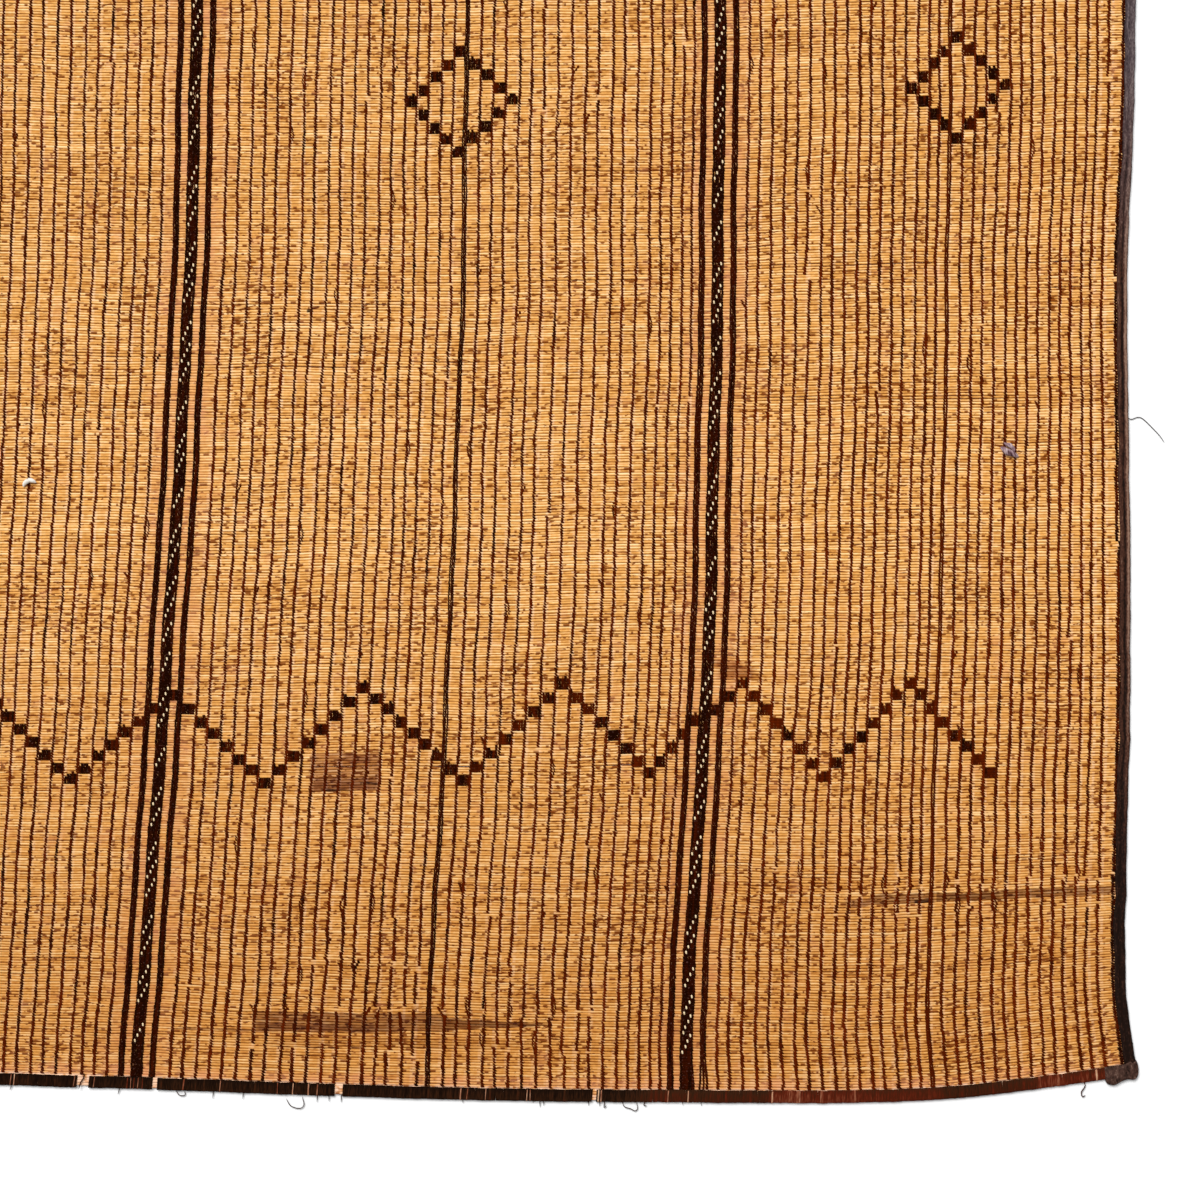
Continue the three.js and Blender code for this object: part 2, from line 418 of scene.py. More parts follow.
@dataclass
class Surface:
    """Points and four-sided faces, gathered before they become one piece."""

    points: list[np.ndarray] = field(default_factory=list)
    faces: list[np.ndarray] = field(default_factory=list)
    weave: list[np.ndarray] = field(default_factory=list)
    marks: list[np.ndarray] = field(default_factory=list)
    cells: list[np.ndarray] = field(default_factory=list)
    count: int = 0

    def add(
        self,
        points: np.ndarray,
        faces: np.ndarray,
        weave: np.ndarray,
        mark: Any,
        cell: np.ndarray | None = None,
    ) -> None:
        """Adds points and the faces between them.

        Args:
            points: places in the frame, in millimetres.
            faces: rows of four point numbers.
            weave: each point's distance across and along, as woven.
            mark: each point's tone, dye or wear, which for the bindings also holds painted light and
                shade.
            cell: each point's place counted in laces and stalks, where the finish needs it.
        """
        self.points.append(points.reshape(-1, 3))
        self.faces.append(faces.reshape(-1, 4) + self.count)
        self.weave.append(weave.reshape(-1, 2))
        if cell is not None:
            self.cells.append(cell.reshape(-1, 2))
        self.marks.append(np.broadcast_to(mark, points.shape[:-1]).reshape(-1))
        self.count += len(self.points[-1])

    def add_loft(
        self,
        rings: np.ndarray,
        weave: np.ndarray,
        mark: np.ndarray,
        flip: bool = False,
        cell: np.ndarray | None = None,
    ) -> None:
        """Adds closed tubes with flat ends, each through its own rings.

        Args:
            rings: places shaped (tubes, rings, points round, 3), with an even number of points round.
            weave: as woven, shaped (tubes, rings, points round, 2).
            mark: shaped to fit the rings without their last axis.
            flip: turns the faces over.
            cell: counted in laces and stalks, shaped as weave.
        """
        tubes, stations, around = rings.shape[:3]
        numbers = np.arange(tubes * stations * around).reshape(tubes, stations, around)
        turned = np.roll(numbers, -1, axis=2)
        sides = np.stack(
            [numbers[:, :-1], turned[:, :-1], turned[:, 1:], numbers[:, 1:]], axis=-1
        ).reshape(-1, 4)
        caps = []
        for low in range(around // 2 - 1):
            high = around - 1 - low
            caps.append(numbers[:, -1][:, [low, low + 1, high - 1, high]])
            caps.append(numbers[:, 0][:, [high, high - 1, low + 1, low]])
        faces = np.concatenate([sides, *caps])
        self.add(rings, faces[:, ::-1] if flip else faces, weave, mark, cell)

    def add_strip(
        self,
        rows: np.ndarray,
        weave: np.ndarray,
        mark: Any,
        keep: np.ndarray | slice = slice(None),
        flip: bool = False,
    ) -> None:
        """Adds a ribbon through rows of points.

        Args:
            rows: places shaped (rows, points in a row, 3).
            weave: as woven, shaped (rows, points in a row, 2).
            mark: shaped to fit the rows without their last axis.
            keep: which stretches between rows are there, where not all are.
            flip: turns the faces over.
        """
        numbers = np.arange(rows.shape[0] * rows.shape[1]).reshape(rows.shape[:2])
        faces = np.stack([numbers[:-1, :-1], numbers[:-1, 1:], numbers[1:, 1:], numbers[1:, :-1]], axis=-1)
        faces = faces[keep].reshape(-1, 4)
        self.add(rows, faces[:, ::-1] if flip else faces, weave, mark)

    def piece(self, name: str, material: bpy.types.Material, slot: str) -> bpy.types.Object:
        """Makes the piece, which rides with the mat.

        Args:
            name: the piece's name.
            material: its material.
            slot: the material slot's name; it is not used.

        Returns:
            The new object.
        """
        points = np.concatenate(self.points) * MM
        faces = np.concatenate(self.faces)
        weave = np.concatenate(self.weave) * MM
        used, compact = np.unique(faces, return_inverse=True)
        faces = compact.reshape(-1, 4)
        points, weave = points[used], weave[used]
        marks = np.concatenate(self.marks)[used]
        mesh = bpy.data.meshes.new(name)
        mesh.vertices.add(len(points))
        mesh.vertices.foreach_set("co", points.astype(np.float32).ravel())
        mesh.loops.add(faces.size)
        mesh.loops.foreach_set("vertex_index", faces.astype(np.int32).ravel())
        mesh.polygons.add(len(faces))
        mesh.polygons.foreach_set("loop_start", np.arange(0, faces.size, 4, dtype=np.int32))
        mesh.update(calc_edges=True)
        mesh.shade_smooth()
        corners = faces.ravel()
        low = weave.min(axis=0)
        unit = (weave - low) / np.maximum(weave.max(axis=0) - low, MM)
        maps = {"Weave": weave, "OFBake": unit}
        if self.cells:
            maps["Cell"] = np.concatenate(self.cells)[used]
        for map_name, values in maps.items():
            layer = mesh.uv_layers.new(name=map_name)
            layer.data.foreach_set("uv", values[corners].astype(np.float32).ravel())
        attribute = mesh.attributes.new("mark", "FLOAT", "POINT")
        attribute.data.foreach_set("value", marks.astype(np.float32))
        mesh.materials.append(material)
        obj = bpy.data.objects.new(name, mesh)
        bpy.context.scene.collection.objects.link(obj)
        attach(obj, BODY)
        log.info("%s: %d faces", name, len(faces))
        return obj


def smooth_noise(rng: np.random.Generator, shape: tuple[int, int], reach: int) -> np.ndarray:
    """Makes noise of about unit size that changes smoothly along its last axis.

    Args:
        rng: the source of chance.
        shape: rows and steps.
        reach: how many steps a wave takes.

    Returns:
        The noise, in that shape.
    """
    raw = rng.normal(size=(shape[0], shape[1] + 2 * reach))
    kernel = np.hanning(2 * reach + 3)[1:-1]
    kernel /= math.sqrt(float((kernel**2).sum()))
    rows = [np.convolve(row, kernel, mode="valid") for row in raw]
    return np.stack(rows)[:, : shape[1]]


# Finishes


@dataclass(frozen=True)
class Tone:
    """A tone on a finish's scale: its place from 0 to 1, and its sRGB code."""

    place: float
    code: str


def linear(code: str) -> tuple[float, float, float, float]:
    """Turns an sRGB hex code into a linear colour."""
    parts = [int(code[i : i + 2], 16) / 255 for i in (0, 2, 4)]
    bright = [c / 12.92 if c <= 0.04045 else ((c + 0.055) / 1.055) ** 2.4 for c in parts]
    return (bright[0], bright[1], bright[2], 1.0)


def add_node(
    tree: bpy.types.NodeTree, kind: str, links: dict | tuple, out: Any = 0, **settings: Any
) -> Any:
    """Adds a shader node.

    Args:
        tree: the material's node tree.
        kind: the node's type, without its ShaderNode prefix.
        links: for each input, a value to set or an output to link, either in order or by its name.
        out: the output to return.
        settings: the node's own settings.

    Returns:
        The chosen output.
    """
    node = tree.nodes.new(f"ShaderNode{kind}")
    for name, value in settings.items():
        setattr(node, name, value)
    for name, value in links.items() if isinstance(links, dict) else enumerate(links):
        if isinstance(value, bpy.types.NodeSocket):
            tree.links.new(value, node.inputs[name])
        else:
            node.inputs[name].default_value = value
    return node.outputs[out]


def new_tree(name: str) -> tuple[bpy.types.Material, bpy.types.NodeTree]:
    """Makes an empty node material."""
    material = bpy.data.materials.new(name)
    material.use_nodes = True
    material.node_tree.nodes.clear()
    return material, material.node_tree


def read_maps(tree: bpy.types.NodeTree) -> tuple[Any, Any]:
    """Reads a piece's places as woven and its marks."""
    weave = add_node(tree, "UVMap", {}, uv_map="Weave")
    return weave, add_node(tree, "Attribute", {}, "Fac", attribute_name="mark")


def finish(
    tree: bpy.types.NodeTree, colour: Any, bump: Any, roughness: float, specular: float, ior: float
) -> None:
    """Closes a material with its shader.

    Args:
        tree: the material's node tree.
        colour: the base colour.
        bump: the bumped normal, or None.
        roughness: the roughness.
        specular: how strongly the surface mirrors, where 0.5 is a clean one and dust takes it down.
        ior: the index of refraction.
    """
    inputs = {"Base Color": colour, "Roughness": roughness, "IOR": ior, "Specular IOR Level": specular}
    if bump is not None:
        inputs["Normal"] = bump
    shader = add_node(tree, "BsdfPrincipled", inputs)
    output = tree.nodes.new("ShaderNodeOutputMaterial")
    tree.links.new(shader, output.inputs["Surface"])


def coat(tree: bpy.types.NodeTree, colour: Any, code: str, amount: Any, blend: str = "MIX") -> Any:
    """Lays a plain colour over what is there.

    Args:
        tree: the material's node tree.
        colour: the colour so far.
        code: the new colour's sRGB code.
        amount: how much of it covers, from 0 to 1.
        blend: how the two are blended.

    Returns:
        The colour after it.
    """
    links = {0: amount, 6: colour, 7: linear(code)}
    return add_node(tree, "Mix", links, 2, data_type="RGBA", blend_type=blend)


def mottling(
    tree: bpy.types.NodeTree,
    weave: Any,
    size: tuple[float, float],
    detail: float,
    roughness: float = 0.5,
) -> Any:
    """Makes an uneven pattern from the real size of its patches.

    Args:
        tree: the material's node tree.
        weave: the place as woven.
        size: how far apart its patches are across and along, in millimetres.
        detail: how much finer detail there is in a patch.
        roughness: how strong that detail is.

    Returns:
        The pattern, about 0.5 on average.
    """
    stretch = (1 / (size[0] * MM), 1 / (size[1] * MM), 1.0)
    place = add_node(tree, "VectorMath", (weave, stretch), operation="MULTIPLY")
    noise = {"Vector": place, "Scale": 1.0, "Detail": detail, "Roughness": roughness}
    return add_node(tree, "TexNoise", noise)


def scale_of_tones(tree: bpy.types.NodeTree, level: Any, tones: tuple[Tone, ...]) -> Any:
    """Turns a level into a tone.

    Args:
        tree: the material's node tree.
        level: the place on the scale, from 0 to 1.
        tones: the scale, from its lowest place to its highest.

    Returns:
        The tone.
    """
    scale = add_node(tree, "ValToRGB", (level,))
    ramp = scale.node.color_ramp
    for stop, tone in zip(ramp.elements, (tones[0], tones[-1])):
        stop.position = tone.place
        stop.color = linear(tone.code)
    for tone in tones[1:-1]:
        ramp.elements.new(tone.place).color = linear(tone.code)
    return scale


@dataclass
class StalkPlace:
    """Where a shaded point of the stalks lies: as woven, in which gap between laces and on which
    stalk, and how far it is into that gap and round that stalk, both from 0 to 1."""

    tree: bpy.types.NodeTree

    def __post_init__(self) -> None:
        """Reads the places from the stalks' maps."""
        self.weave, self.mark = read_maps(self.tree)
        cell = add_node(self.tree, "UVMap", {}, uv_map="Cell")
        self.number = add_node(self.tree, "VectorMath", (cell,), operation="FLOOR")
        inside = add_node(self.tree, "VectorMath", (cell,), operation="FRACTION")
        self.across, self.along = self.parts(self.weave)
        self.stalk = self.parts(self.number)[1]
        self.in_gap, self.round_stalk = self.parts(inside)

    def parts(self, vector: Any) -> list[Any]:
        """Gives the first two parts of a vector."""
        return [add_node(self.tree, "SeparateXYZ", (vector,), axis) for axis in "XY"]

    def chances(self, shift: tuple[float, float, float]) -> list[Any]:
        """Gives three chances, new on each stalk in each gap, and other ones for another shift."""
        place = add_node(self.tree, "VectorMath", (self.number, shift), operation="ADD")
        chance = add_node(self.tree, "TexWhiteNoise", {"Vector": place}, "Color")
        names = ("Red", "Green", "Blue")
        return [add_node(self.tree, "SeparateColor", (chance,), name) for name in names]


@dataclass(frozen=True)
class Stain:
    """A stain that keeps to a few stalks: where it starts and stops across, its middle and half width
    along at both of those, how softly it starts and stops, its strength and its colour."""

    start: float
    stop: float
    middle_start: float
    middle_stop: float
    half_start: float
    half_stop: float
    fade_start: float
    fade_stop: float
    strength: float
    colour: str


STAINS = (
    Stain(-117.0, -54.0, -615.5, -615.0, 18.5, 18.0, 3.0, 2.5, 1.0, "ccbcc4"),
    Stain(-113.0, -56.0, -627.5, -626.0, 6.5, 5.5, 2.0, 2.0, 0.9, "bba6a8"),
    Stain(-106.0, -77.0, -631.5, -632.5, 1.5, 1.3, 1.0, 1.0, 0.9, "6a5448"),
    Stain(-72.0, -56.0, -626.5, -626.5, 1.3, 1.3, 1.0, 1.0, 0.9, "6a5448"),
    Stain(-88.0, -62.0, -603.0, -604.0, 4.0, 4.0, 3.0, 3.0, 0.8, "b08878"),
    Stain(234.0, 268.0, -517.0, -518.0, 4.0, 3.5, 8.0, 9.0, 0.9, "b89078"),
    Stain(240.0, 279.0, -525.0, -526.0, 7.5, 6.0, 7.0, 6.0, 0.9, "b08c74"),
    Stain(-151.0, 22.0, -849.3, -846.8, 10.6, 8.6, 1.0, 14.0, 1.0, "b6a4a2"),
    Stain(-148.0, -20.0, -853.0, -852.5, 4.0, 3.4, 4.0, 30.0, 0.8, "b49c94"),
    Stain(8.0, 112.0, -848.5, -846.4, 6.2, 1.6, 10.0, 16.0, 1.0, "8c705c"),
    Stain(-140.0, 110.0, -867.0, -864.5, 6.0, 4.5, 12.0, 40.0, 0.9, "e6dccc"),
    Stain(-138.0, -34.0, -872.4, -871.6, 0.9, 0.8, 10.0, 20.0, 0.9, "805c48"),
    Stain(-226.0, -148.0, -859.6, -857.4, 1.4, 1.6, 12.0, 2.0, 0.8, "a08c88"),
    Stain(364.0, 394.0, -736.6, -735.0, 3.4, 4.4, 12.0, 2.0, 0.95, "ac989c"),
    Stain(393.0, 450.0, -733.0, -733.4, 5.2, 5.0, 2.0, 2.0, 0.95, "a48f86"),
    Stain(449.0, 510.0, -733.2, -734.6, 4.4, 3.7, 2.0, 5.0, 1.0, "866c5c"),
    Stain(506.0, 612.0, -733.3, -735.8, 4.5, 4.3, 4.0, 2.0, 0.95, "a89694"),
    Stain(430.0, 447.0, -736.4, -736.0, 2.2, 2.4, 2.0, 1.0, 1.0, "50383a"),
    Stain(-142.0, -135.5, -192.2, -190.8, 1.9, 1.7, 1.2, 1.0, 1.0, "3e3418"),
    Stain(-137.0, -129.5, -189.2, -187.8, 1.5, 1.4, 1.0, 1.4, 1.0, "7a4c28"),
)


@dataclass(frozen=True)
class DryStalk:
    """Dry grass stem, as it grew: a hard waxy skin, so its tone changes from stalk to stalk. Its colour
    holds a painted highlight in a thin line along each stalk and painted shade, with some dust, in the
    hollows between stalks, and joints and bruises leave short brown flecks. Its patterns' sizes are in
    millimetres."""

    name: str = "dry_grass_stem"
    # The bottom of the stem's scale: painted shade in the hollows between stalks, with some dust.
    hollow_shade_and_dust: str = "823f08"
    shade: str = "c38138"
    body: str = "eaac5c"
    # The top of the stem's scale, where the painted highlight along each stalk reaches.
    bright: str = "fddaa4"
    rosy: str = "dc966a"
    fleck: str = "803e04"
    # Painted shade for the deeper hollows beside some stalks.
    deep_hollow_shade: str = "945014"
    # Pale rubbing beside the laces, with a painted highlight there.
    rubbed: str = "f9cfa4"
    rim: str = "f0c6a6"
    browned: str = "e6dac9"
    roughness: float = 0.5
    specular: float = 0.08
    ior: float = 1.5
    tone_length: float = 5.0
    dark_length: float = 62.5
    fleck_share: float = 0.13
    bruise_size: tuple[float, float] = (8.333, 2.941)
    bruised_size: tuple[float, float] = (71.43, 71.43)
    tint_size: tuple[float, float] = (22.22, 22.22)
    chip_size: tuple[float, float] = (6.25, 6.25)
    stain_size: tuple[float, float] = (11.11, 2.381)
    # A stem's fibres are about 0.1 mm apart, too fine to show, so they are drawn coarser.
    fibre_size: tuple[float, float] = (16.67, 0.3846)

    def material(self) -> bpy.types.Material:
        """Builds the material."""
        material, tree = new_tree(self.name)
        at = StalkPlace(tree)
        colour = self.stem(at)
        # A painted highlight, with pale rubbing, where the stalks swell beside the laces.
        colour = coat(tree, colour, self.rubbed, self.painted_highlight_beside_laces(at))
        # Painted shade in the hollows beside some stalks.
        colour = coat(tree, colour, self.deep_hollow_shade, self.painted_deep_hollows(at))
        colour = coat(tree, colour, self.fleck, self.flecks(at))
        colour = coat(tree, colour, self.fleck, self.bruises(at))
        colour = self.tinted(at, colour)
        for stain in STAINS:
            colour = self.stain(at, colour, stain)
        fibre = mottling(tree, at.weave, self.fibre_size, 2.0)
        bump = add_node(tree, "Bump", {"Height": fibre, "Strength": 0.3, "Distance": 0.0002})
        finish(tree, colour, bump, self.roughness, self.specular, self.ior)
        return material

    def stem(self, at: StalkPlace) -> Any:
        """Makes the stem's tone, new in each stretch between laces, with painted light round the stalk: a
        highlight on the side towards the key light and painted shade at its edges.

        Args:
            at: the place on the stalks.

        Returns:
            The colour.
        """
        tree = at.tree
        first, second, third = at.chances((0.0, 0.0, 0.0))
        aside = add_node(tree, "MapRange", (third, 0.0, 1.0, -0.16, 0.16))
        off_centre = add_node(tree, "Math", (at.round_stalk, aside), operation="ADD")
        # Painted light round the stalk: a highlight on the side towards the key light, and painted shade
        # at both edges where the stalks meet.
        painted_light_profile = add_node(tree, "ValToRGB", (off_centre,))
        painted_light_profile.node.color_ramp.interpolation = "EASE"
        stops = painted_light_profile.node.color_ramp.elements
        for stop in stops:
            stop.color = (0.06, 0.06, 0.06, 1.0)
        for place, light in ((0.22, 0.5), (0.45, 0.6), (0.66, 1.0), (0.86, 0.6)):
            stops.new(place).color = (light, light, light, 1.0)
        offset = add_node(tree, "Math", (painted_light_profile, 0.6), operation="SUBTRACT")
        gain = add_node(tree, "MapRange", (second, 0.0, 1.0, 0.25, 1.05))
        level = add_node(tree, "Math", (offset, gain), operation="MULTIPLY")
        shift = add_node(tree, "MapRange", (first, 0.0, 1.0, 0.36, 0.6))
        each_metre = 1 / (self.tone_length * MM)
        length = add_node(tree, "Math", (at.across, each_metre), operation="MULTIPLY")
        apart = add_node(tree, "Math", (at.stalk, 7.31), operation="MULTIPLY")
        place = add_node(tree, "CombineXYZ", {"X": length, "Y": apart, "Z": at.round_stalk})
        streak = add_node(tree, "TexNoise", {"Vector": place, "Scale": 1.0, "Detail": 3.0})
        drift = add_node(tree, "MapRange", (streak, 0.25, 0.75, -0.2, 0.2))
        for part in (shift, at.mark, drift):
            level = add_node(tree, "Math", (level, part), operation="ADD")
        codes = (self.hollow_shade_and_dust, self.shade, self.body, self.bright)
        return scale_of_tones(tree, level, tuple(map(Tone, (0.0, 0.24, 0.55, 1.0), codes)))

    def painted_highlight_beside_laces(self, at: StalkPlace) -> Any:
        """Paints a highlight where the stems swell beside a lace, in a pale rubbed tone, most on the half
        of each stalk towards the light.

        Args:
            at: the place on the stalks.

        Returns:
            How much of it there is, from 0 to 1.
        """
        tree = at.tree
        first, second, _ = at.chances((0.5, 0.5, 4.0))
        left = add_node(tree, "MapRange", (at.in_gap, 0.14, 0.26, 0.85, 0.0))
        right = add_node(tree, "MapRange", (at.in_gap, 0.76, 0.87, 0.0, 0.6))
        left = add_node(tree, "Math", (left, first), operation="MULTIPLY")
        right = add_node(tree, "Math", (right, second), operation="MULTIPLY")
        amount = add_node(tree, "Math", (left, right), operation="ADD")
        high = add_node(tree, "MapRange", (at.round_stalk, 0.15, 0.5, 0.2, 1.0))
        return add_node(tree, "Math", (amount, high), operation="MULTIPLY")

    def painted_deep_hollows(self, at: StalkPlace) -> Any:
        """Paints shade into the hollows beside some stalks, on their side away from the light, for a
        hand's breadth at a time.

        Args:
            at: the place on the stalks.

        Returns:
            How much of it there is, from 0 to 1.
        """
        tree = at.tree
        each_metre = 1 / (self.dark_length * MM)
        length = add_node(tree, "Math", (at.across, each_metre), operation="MULTIPLY")
        apart = add_node(tree, "Math", (at.stalk, 3.77), operation="MULTIPLY")
        place = add_node(tree, "CombineXYZ", {"X": length, "Y": apart})
        rare = add_node(tree, "TexNoise", {"Vector": place, "Scale": 1.0, "Detail": 1.0})
        strength = add_node(tree, "MapRange", (rare, 0.6, 0.74, 0.0, 0.8))
        low = add_node(tree, "MapRange", (at.round_stalk, 0.55, 0.1, 0.0, 1.0))
        return add_node(tree, "Math", (strength, low), operation="MULTIPLY")

    def flecks(self, at: StalkPlace) -> Any:
        """Adds short brown flecks, each on one stalk between two laces.

        Args:
            at: the place on the stalks.

        Returns:
            How much of it there is, from 0 to 1.
        """
        tree = at.tree
        first, second, third = at.chances((0.5, 0.5, 9.0))
        half = add_node(tree, "MapRange", (second, 0.0, 1.0, 0.08, 0.26))
        away = add_node(tree, "Math", (at.in_gap, third), operation="SUBTRACT")
        away = add_node(tree, "Math", (away,), operation="ABSOLUTE")
        beyond = add_node(tree, "Math", (away, half), operation="SUBTRACT")
        amount = add_node(tree, "MapRange", (beyond, 0.02, -0.06, 0.0, 1.0))
        share = 1 - self.fleck_share
        chosen = (first, share - 0.02, share + 0.04, 0.0, 0.95)
        low = (at.round_stalk, 0.92, 0.66, 0.2, 1.0)
        for limit in (chosen, low):
            part = add_node(tree, "MapRange", limit)
            amount = add_node(tree, "Math", (amount, part), operation="MULTIPLY")
        return amount

    def bruises(self, at: StalkPlace) -> Any:
        """Adds ragged brown bruises that run over a stalk or two, more in some parts than in others.

        Args:
            at: the place on the stalks.

        Returns:
            How much of it there is, from 0 to 1.
        """
        tree = at.tree
        bruise = mottling(tree, at.weave, self.bruise_size, 2.0)
        bruised = mottling(tree, at.weave, self.bruised_size, 3.0)
        often = add_node(tree, "MapRange", (bruised, 0.35, 0.65, -0.07, 0.07))
        level = add_node(tree, "Math", (bruise, often), operation="ADD")
        return add_node(tree, "MapRange", (level, 0.615, 0.65, 0.0, 0.94))

    def tinted(self, at: StalkPlace, colour: Any) -> Any:
        """Adds the mat's large tints: rosy beside the bands, browner in front, pale at its ends.

        Args:
            at: the place on the stalks.
            colour: the colour so far.

        Returns:
            The new colour.
        """
        tree = at.tree
        noise = mottling(tree, at.weave, self.tint_size, 3.0)
        patchy = add_node(tree, "MapRange", (noise, 0.35, 0.65, 0.25, 1.0))
        for line in (-21, 20):
            middle = line_across(line) * MM
            away = add_node(tree, "Math", (at.across, middle), operation="SUBTRACT")
            away = add_node(tree, "Math", (away,), operation="ABSOLUTE")
            near = add_node(tree, "MapRange", (away, 0.036, 0.014, 0.0, 0.5))
            amount = add_node(tree, "Math", (near, patchy), operation="MULTIPLY")
            colour = coat(tree, colour, self.rosy, amount)
        rare = add_node(tree, "MapRange", (noise, 0.58, 0.72, 0.0, 0.3))
        colour = coat(tree, colour, self.rosy, rare)
        front = add_node(tree, "MapRange", (at.along, -0.42, -0.82, 0.0, 1.0))
        colour = coat(tree, colour, self.browned, front, "MULTIPLY")
        end = add_node(tree, "Math", (at.along,), operation="ABSOLUTE")
        worn = add_node(tree, "MapRange", (end, 0.893, 0.9, 0.0, 0.5))
        worn = add_node(tree, "Math", (worn, patchy), operation="MULTIPLY")
        colour = coat(tree, colour, self.rosy, worn)
        chips = mottling(tree, at.weave, self.chip_size, 1.0)
        chips = add_node(tree, "MapRange", (chips, 0.38, 0.52, 0.0, 0.9))
        last = add_node(tree, "MapRange", (end, 0.9035, 0.905, 0.0, 1.0))
        last = add_node(tree, "Math", (last, chips), operation="MULTIPLY")
        return coat(tree, colour, self.rim, last)

    def stain(self, at: StalkPlace, colour: Any, stain: Stain) -> Any:
        """Adds one stain, ragged at its edge.

        Args:
            at: the place on the stalks.
            colour: the colour so far.
            stain: the stain.

        Returns:
            The new colour.
        """
        tree = at.tree
        start, stop = stain.start * MM, stain.stop * MM
        middle = (at.across, start, stop, stain.middle_start * MM, stain.middle_stop * MM)
        middle = add_node(tree, "MapRange", middle)
        half = (at.across, start, stop, stain.half_start * MM, stain.half_stop * MM)
        half = add_node(tree, "MapRange", half)
        away = add_node(tree, "Math", (at.along, middle), operation="SUBTRACT")
        away = add_node(tree, "Math", (away,), operation="ABSOLUTE")
        inside = add_node(tree, "Math", (half, away), operation="SUBTRACT")
        ragged = mottling(tree, at.weave, self.stain_size, 3.0)
        offset = add_node(tree, "MapRange", (ragged, 0.3, 0.7, -1.1 * MM, 1.1 * MM))
        inside = add_node(tree, "Math", (inside, offset), operation="ADD")
        amount = add_node(tree, "MapRange", (inside, 0.0, 0.9 * MM, 0.0, 1.0))
        first = (at.across, start, start + stain.fade_start * MM, 0.0, 1.0)
        last = (at.across, stop - stain.fade_stop * MM, stop, 1.0, 0.0)
        patchy = (ragged, 0.3, 0.6, stain.strength * 0.72, stain.strength)
        for limit in (first, last, patchy):
            part = add_node(tree, "MapRange", limit)
            amount = add_node(tree, "Math", (amount, part), operation="MULTIPLY")
        return coat(tree, colour, stain.colour, amount, "MULTIPLY")


@dataclass(frozen=True)
class PaleFibre:
    """Pale plant fibre, split from a stem or shed as down: cream, matt and a little dusty."""

    name: str = "split_grass_stem"
    colour: str = "ead3aa"
    shade: str = "b58f5e"
    dust_size: tuple[float, float] = (3.03, 3.03)
    roughness: float = 0.7
    specular: float = 0.25
    ior: float = 1.5

    def material(self) -> bpy.types.Material:
        """Builds the material."""
        material, tree = new_tree(self.name)
        weave = add_node(tree, "UVMap", {}, uv_map="Weave")
        dust = mottling(tree, weave, self.dust_size, 2.0)
        amount = add_node(tree, "MapRange", (dust, 0.5, 0.75, 0.0, 0.8))
        colour = coat(tree, linear(self.colour), self.shade, amount)
        finish(tree, colour, None, self.roughness, self.specular, self.ior)
        return material


# Goatskin's grain is about 0.3 mm, too fine to show, so it is drawn two and three times as coarse.
FINE_GRAIN = (0.6667, 0.6667)
COARSE_GRAIN = (0.9091, 0.9091)


@dataclass(frozen=True)
class DyedLace:
    """Thin goatskin lace dyed black or dark red: matt where the dye is fresh, brown where the lace
    is rubbed on the crests, and with a few dusty specks where it is black."""

    name: str = "dyed_goatskin_lace"
    black: str = "1a0500"
    red: str = "5c1a00"
    rubbed: str = "502c00"
    speck: str = "6c4840"
    rubbed_size: tuple[float, float] = (2.381, 2.381)
    speck_size: tuple[float, float] = (1.786, 1.786)
    grain_size: tuple[float, float] = FINE_GRAIN
    roughness: float = 0.7
    specular: float = 0.01
    ior: float = 1.45

    def material(self) -> bpy.types.Material:
        """Builds the material."""
        material, tree = new_tree(self.name)
        weave, dye = read_maps(tree)
        colour = coat(tree, linear(self.black), self.red, dye)
        wear = mottling(tree, weave, self.rubbed_size, 3.0)
        amount = add_node(tree, "MapRange", (wear, 0.6, 0.85, 0.0, 0.4))
        colour = coat(tree, colour, self.rubbed, amount)
        dust = mottling(tree, weave, self.speck_size, 2.0)
        dusty = add_node(tree, "MapRange", (dust, 0.6, 0.74, 0.0, 0.6))
        dark = add_node(tree, "MapRange", (dye, 0.2, 0.5, 1.0, 0.0))
        amount = add_node(tree, "Math", (dusty, dark), operation="MULTIPLY")
        colour = coat(tree, colour, self.speck, amount)
        grain = mottling(tree, weave, self.grain_size, 2.0)
        bump = add_node(tree, "Bump", {"Height": grain, "Strength": 0.3, "Distance": 0.0003})
        finish(tree, colour, bump, self.roughness, self.specular, self.ior)
        return material


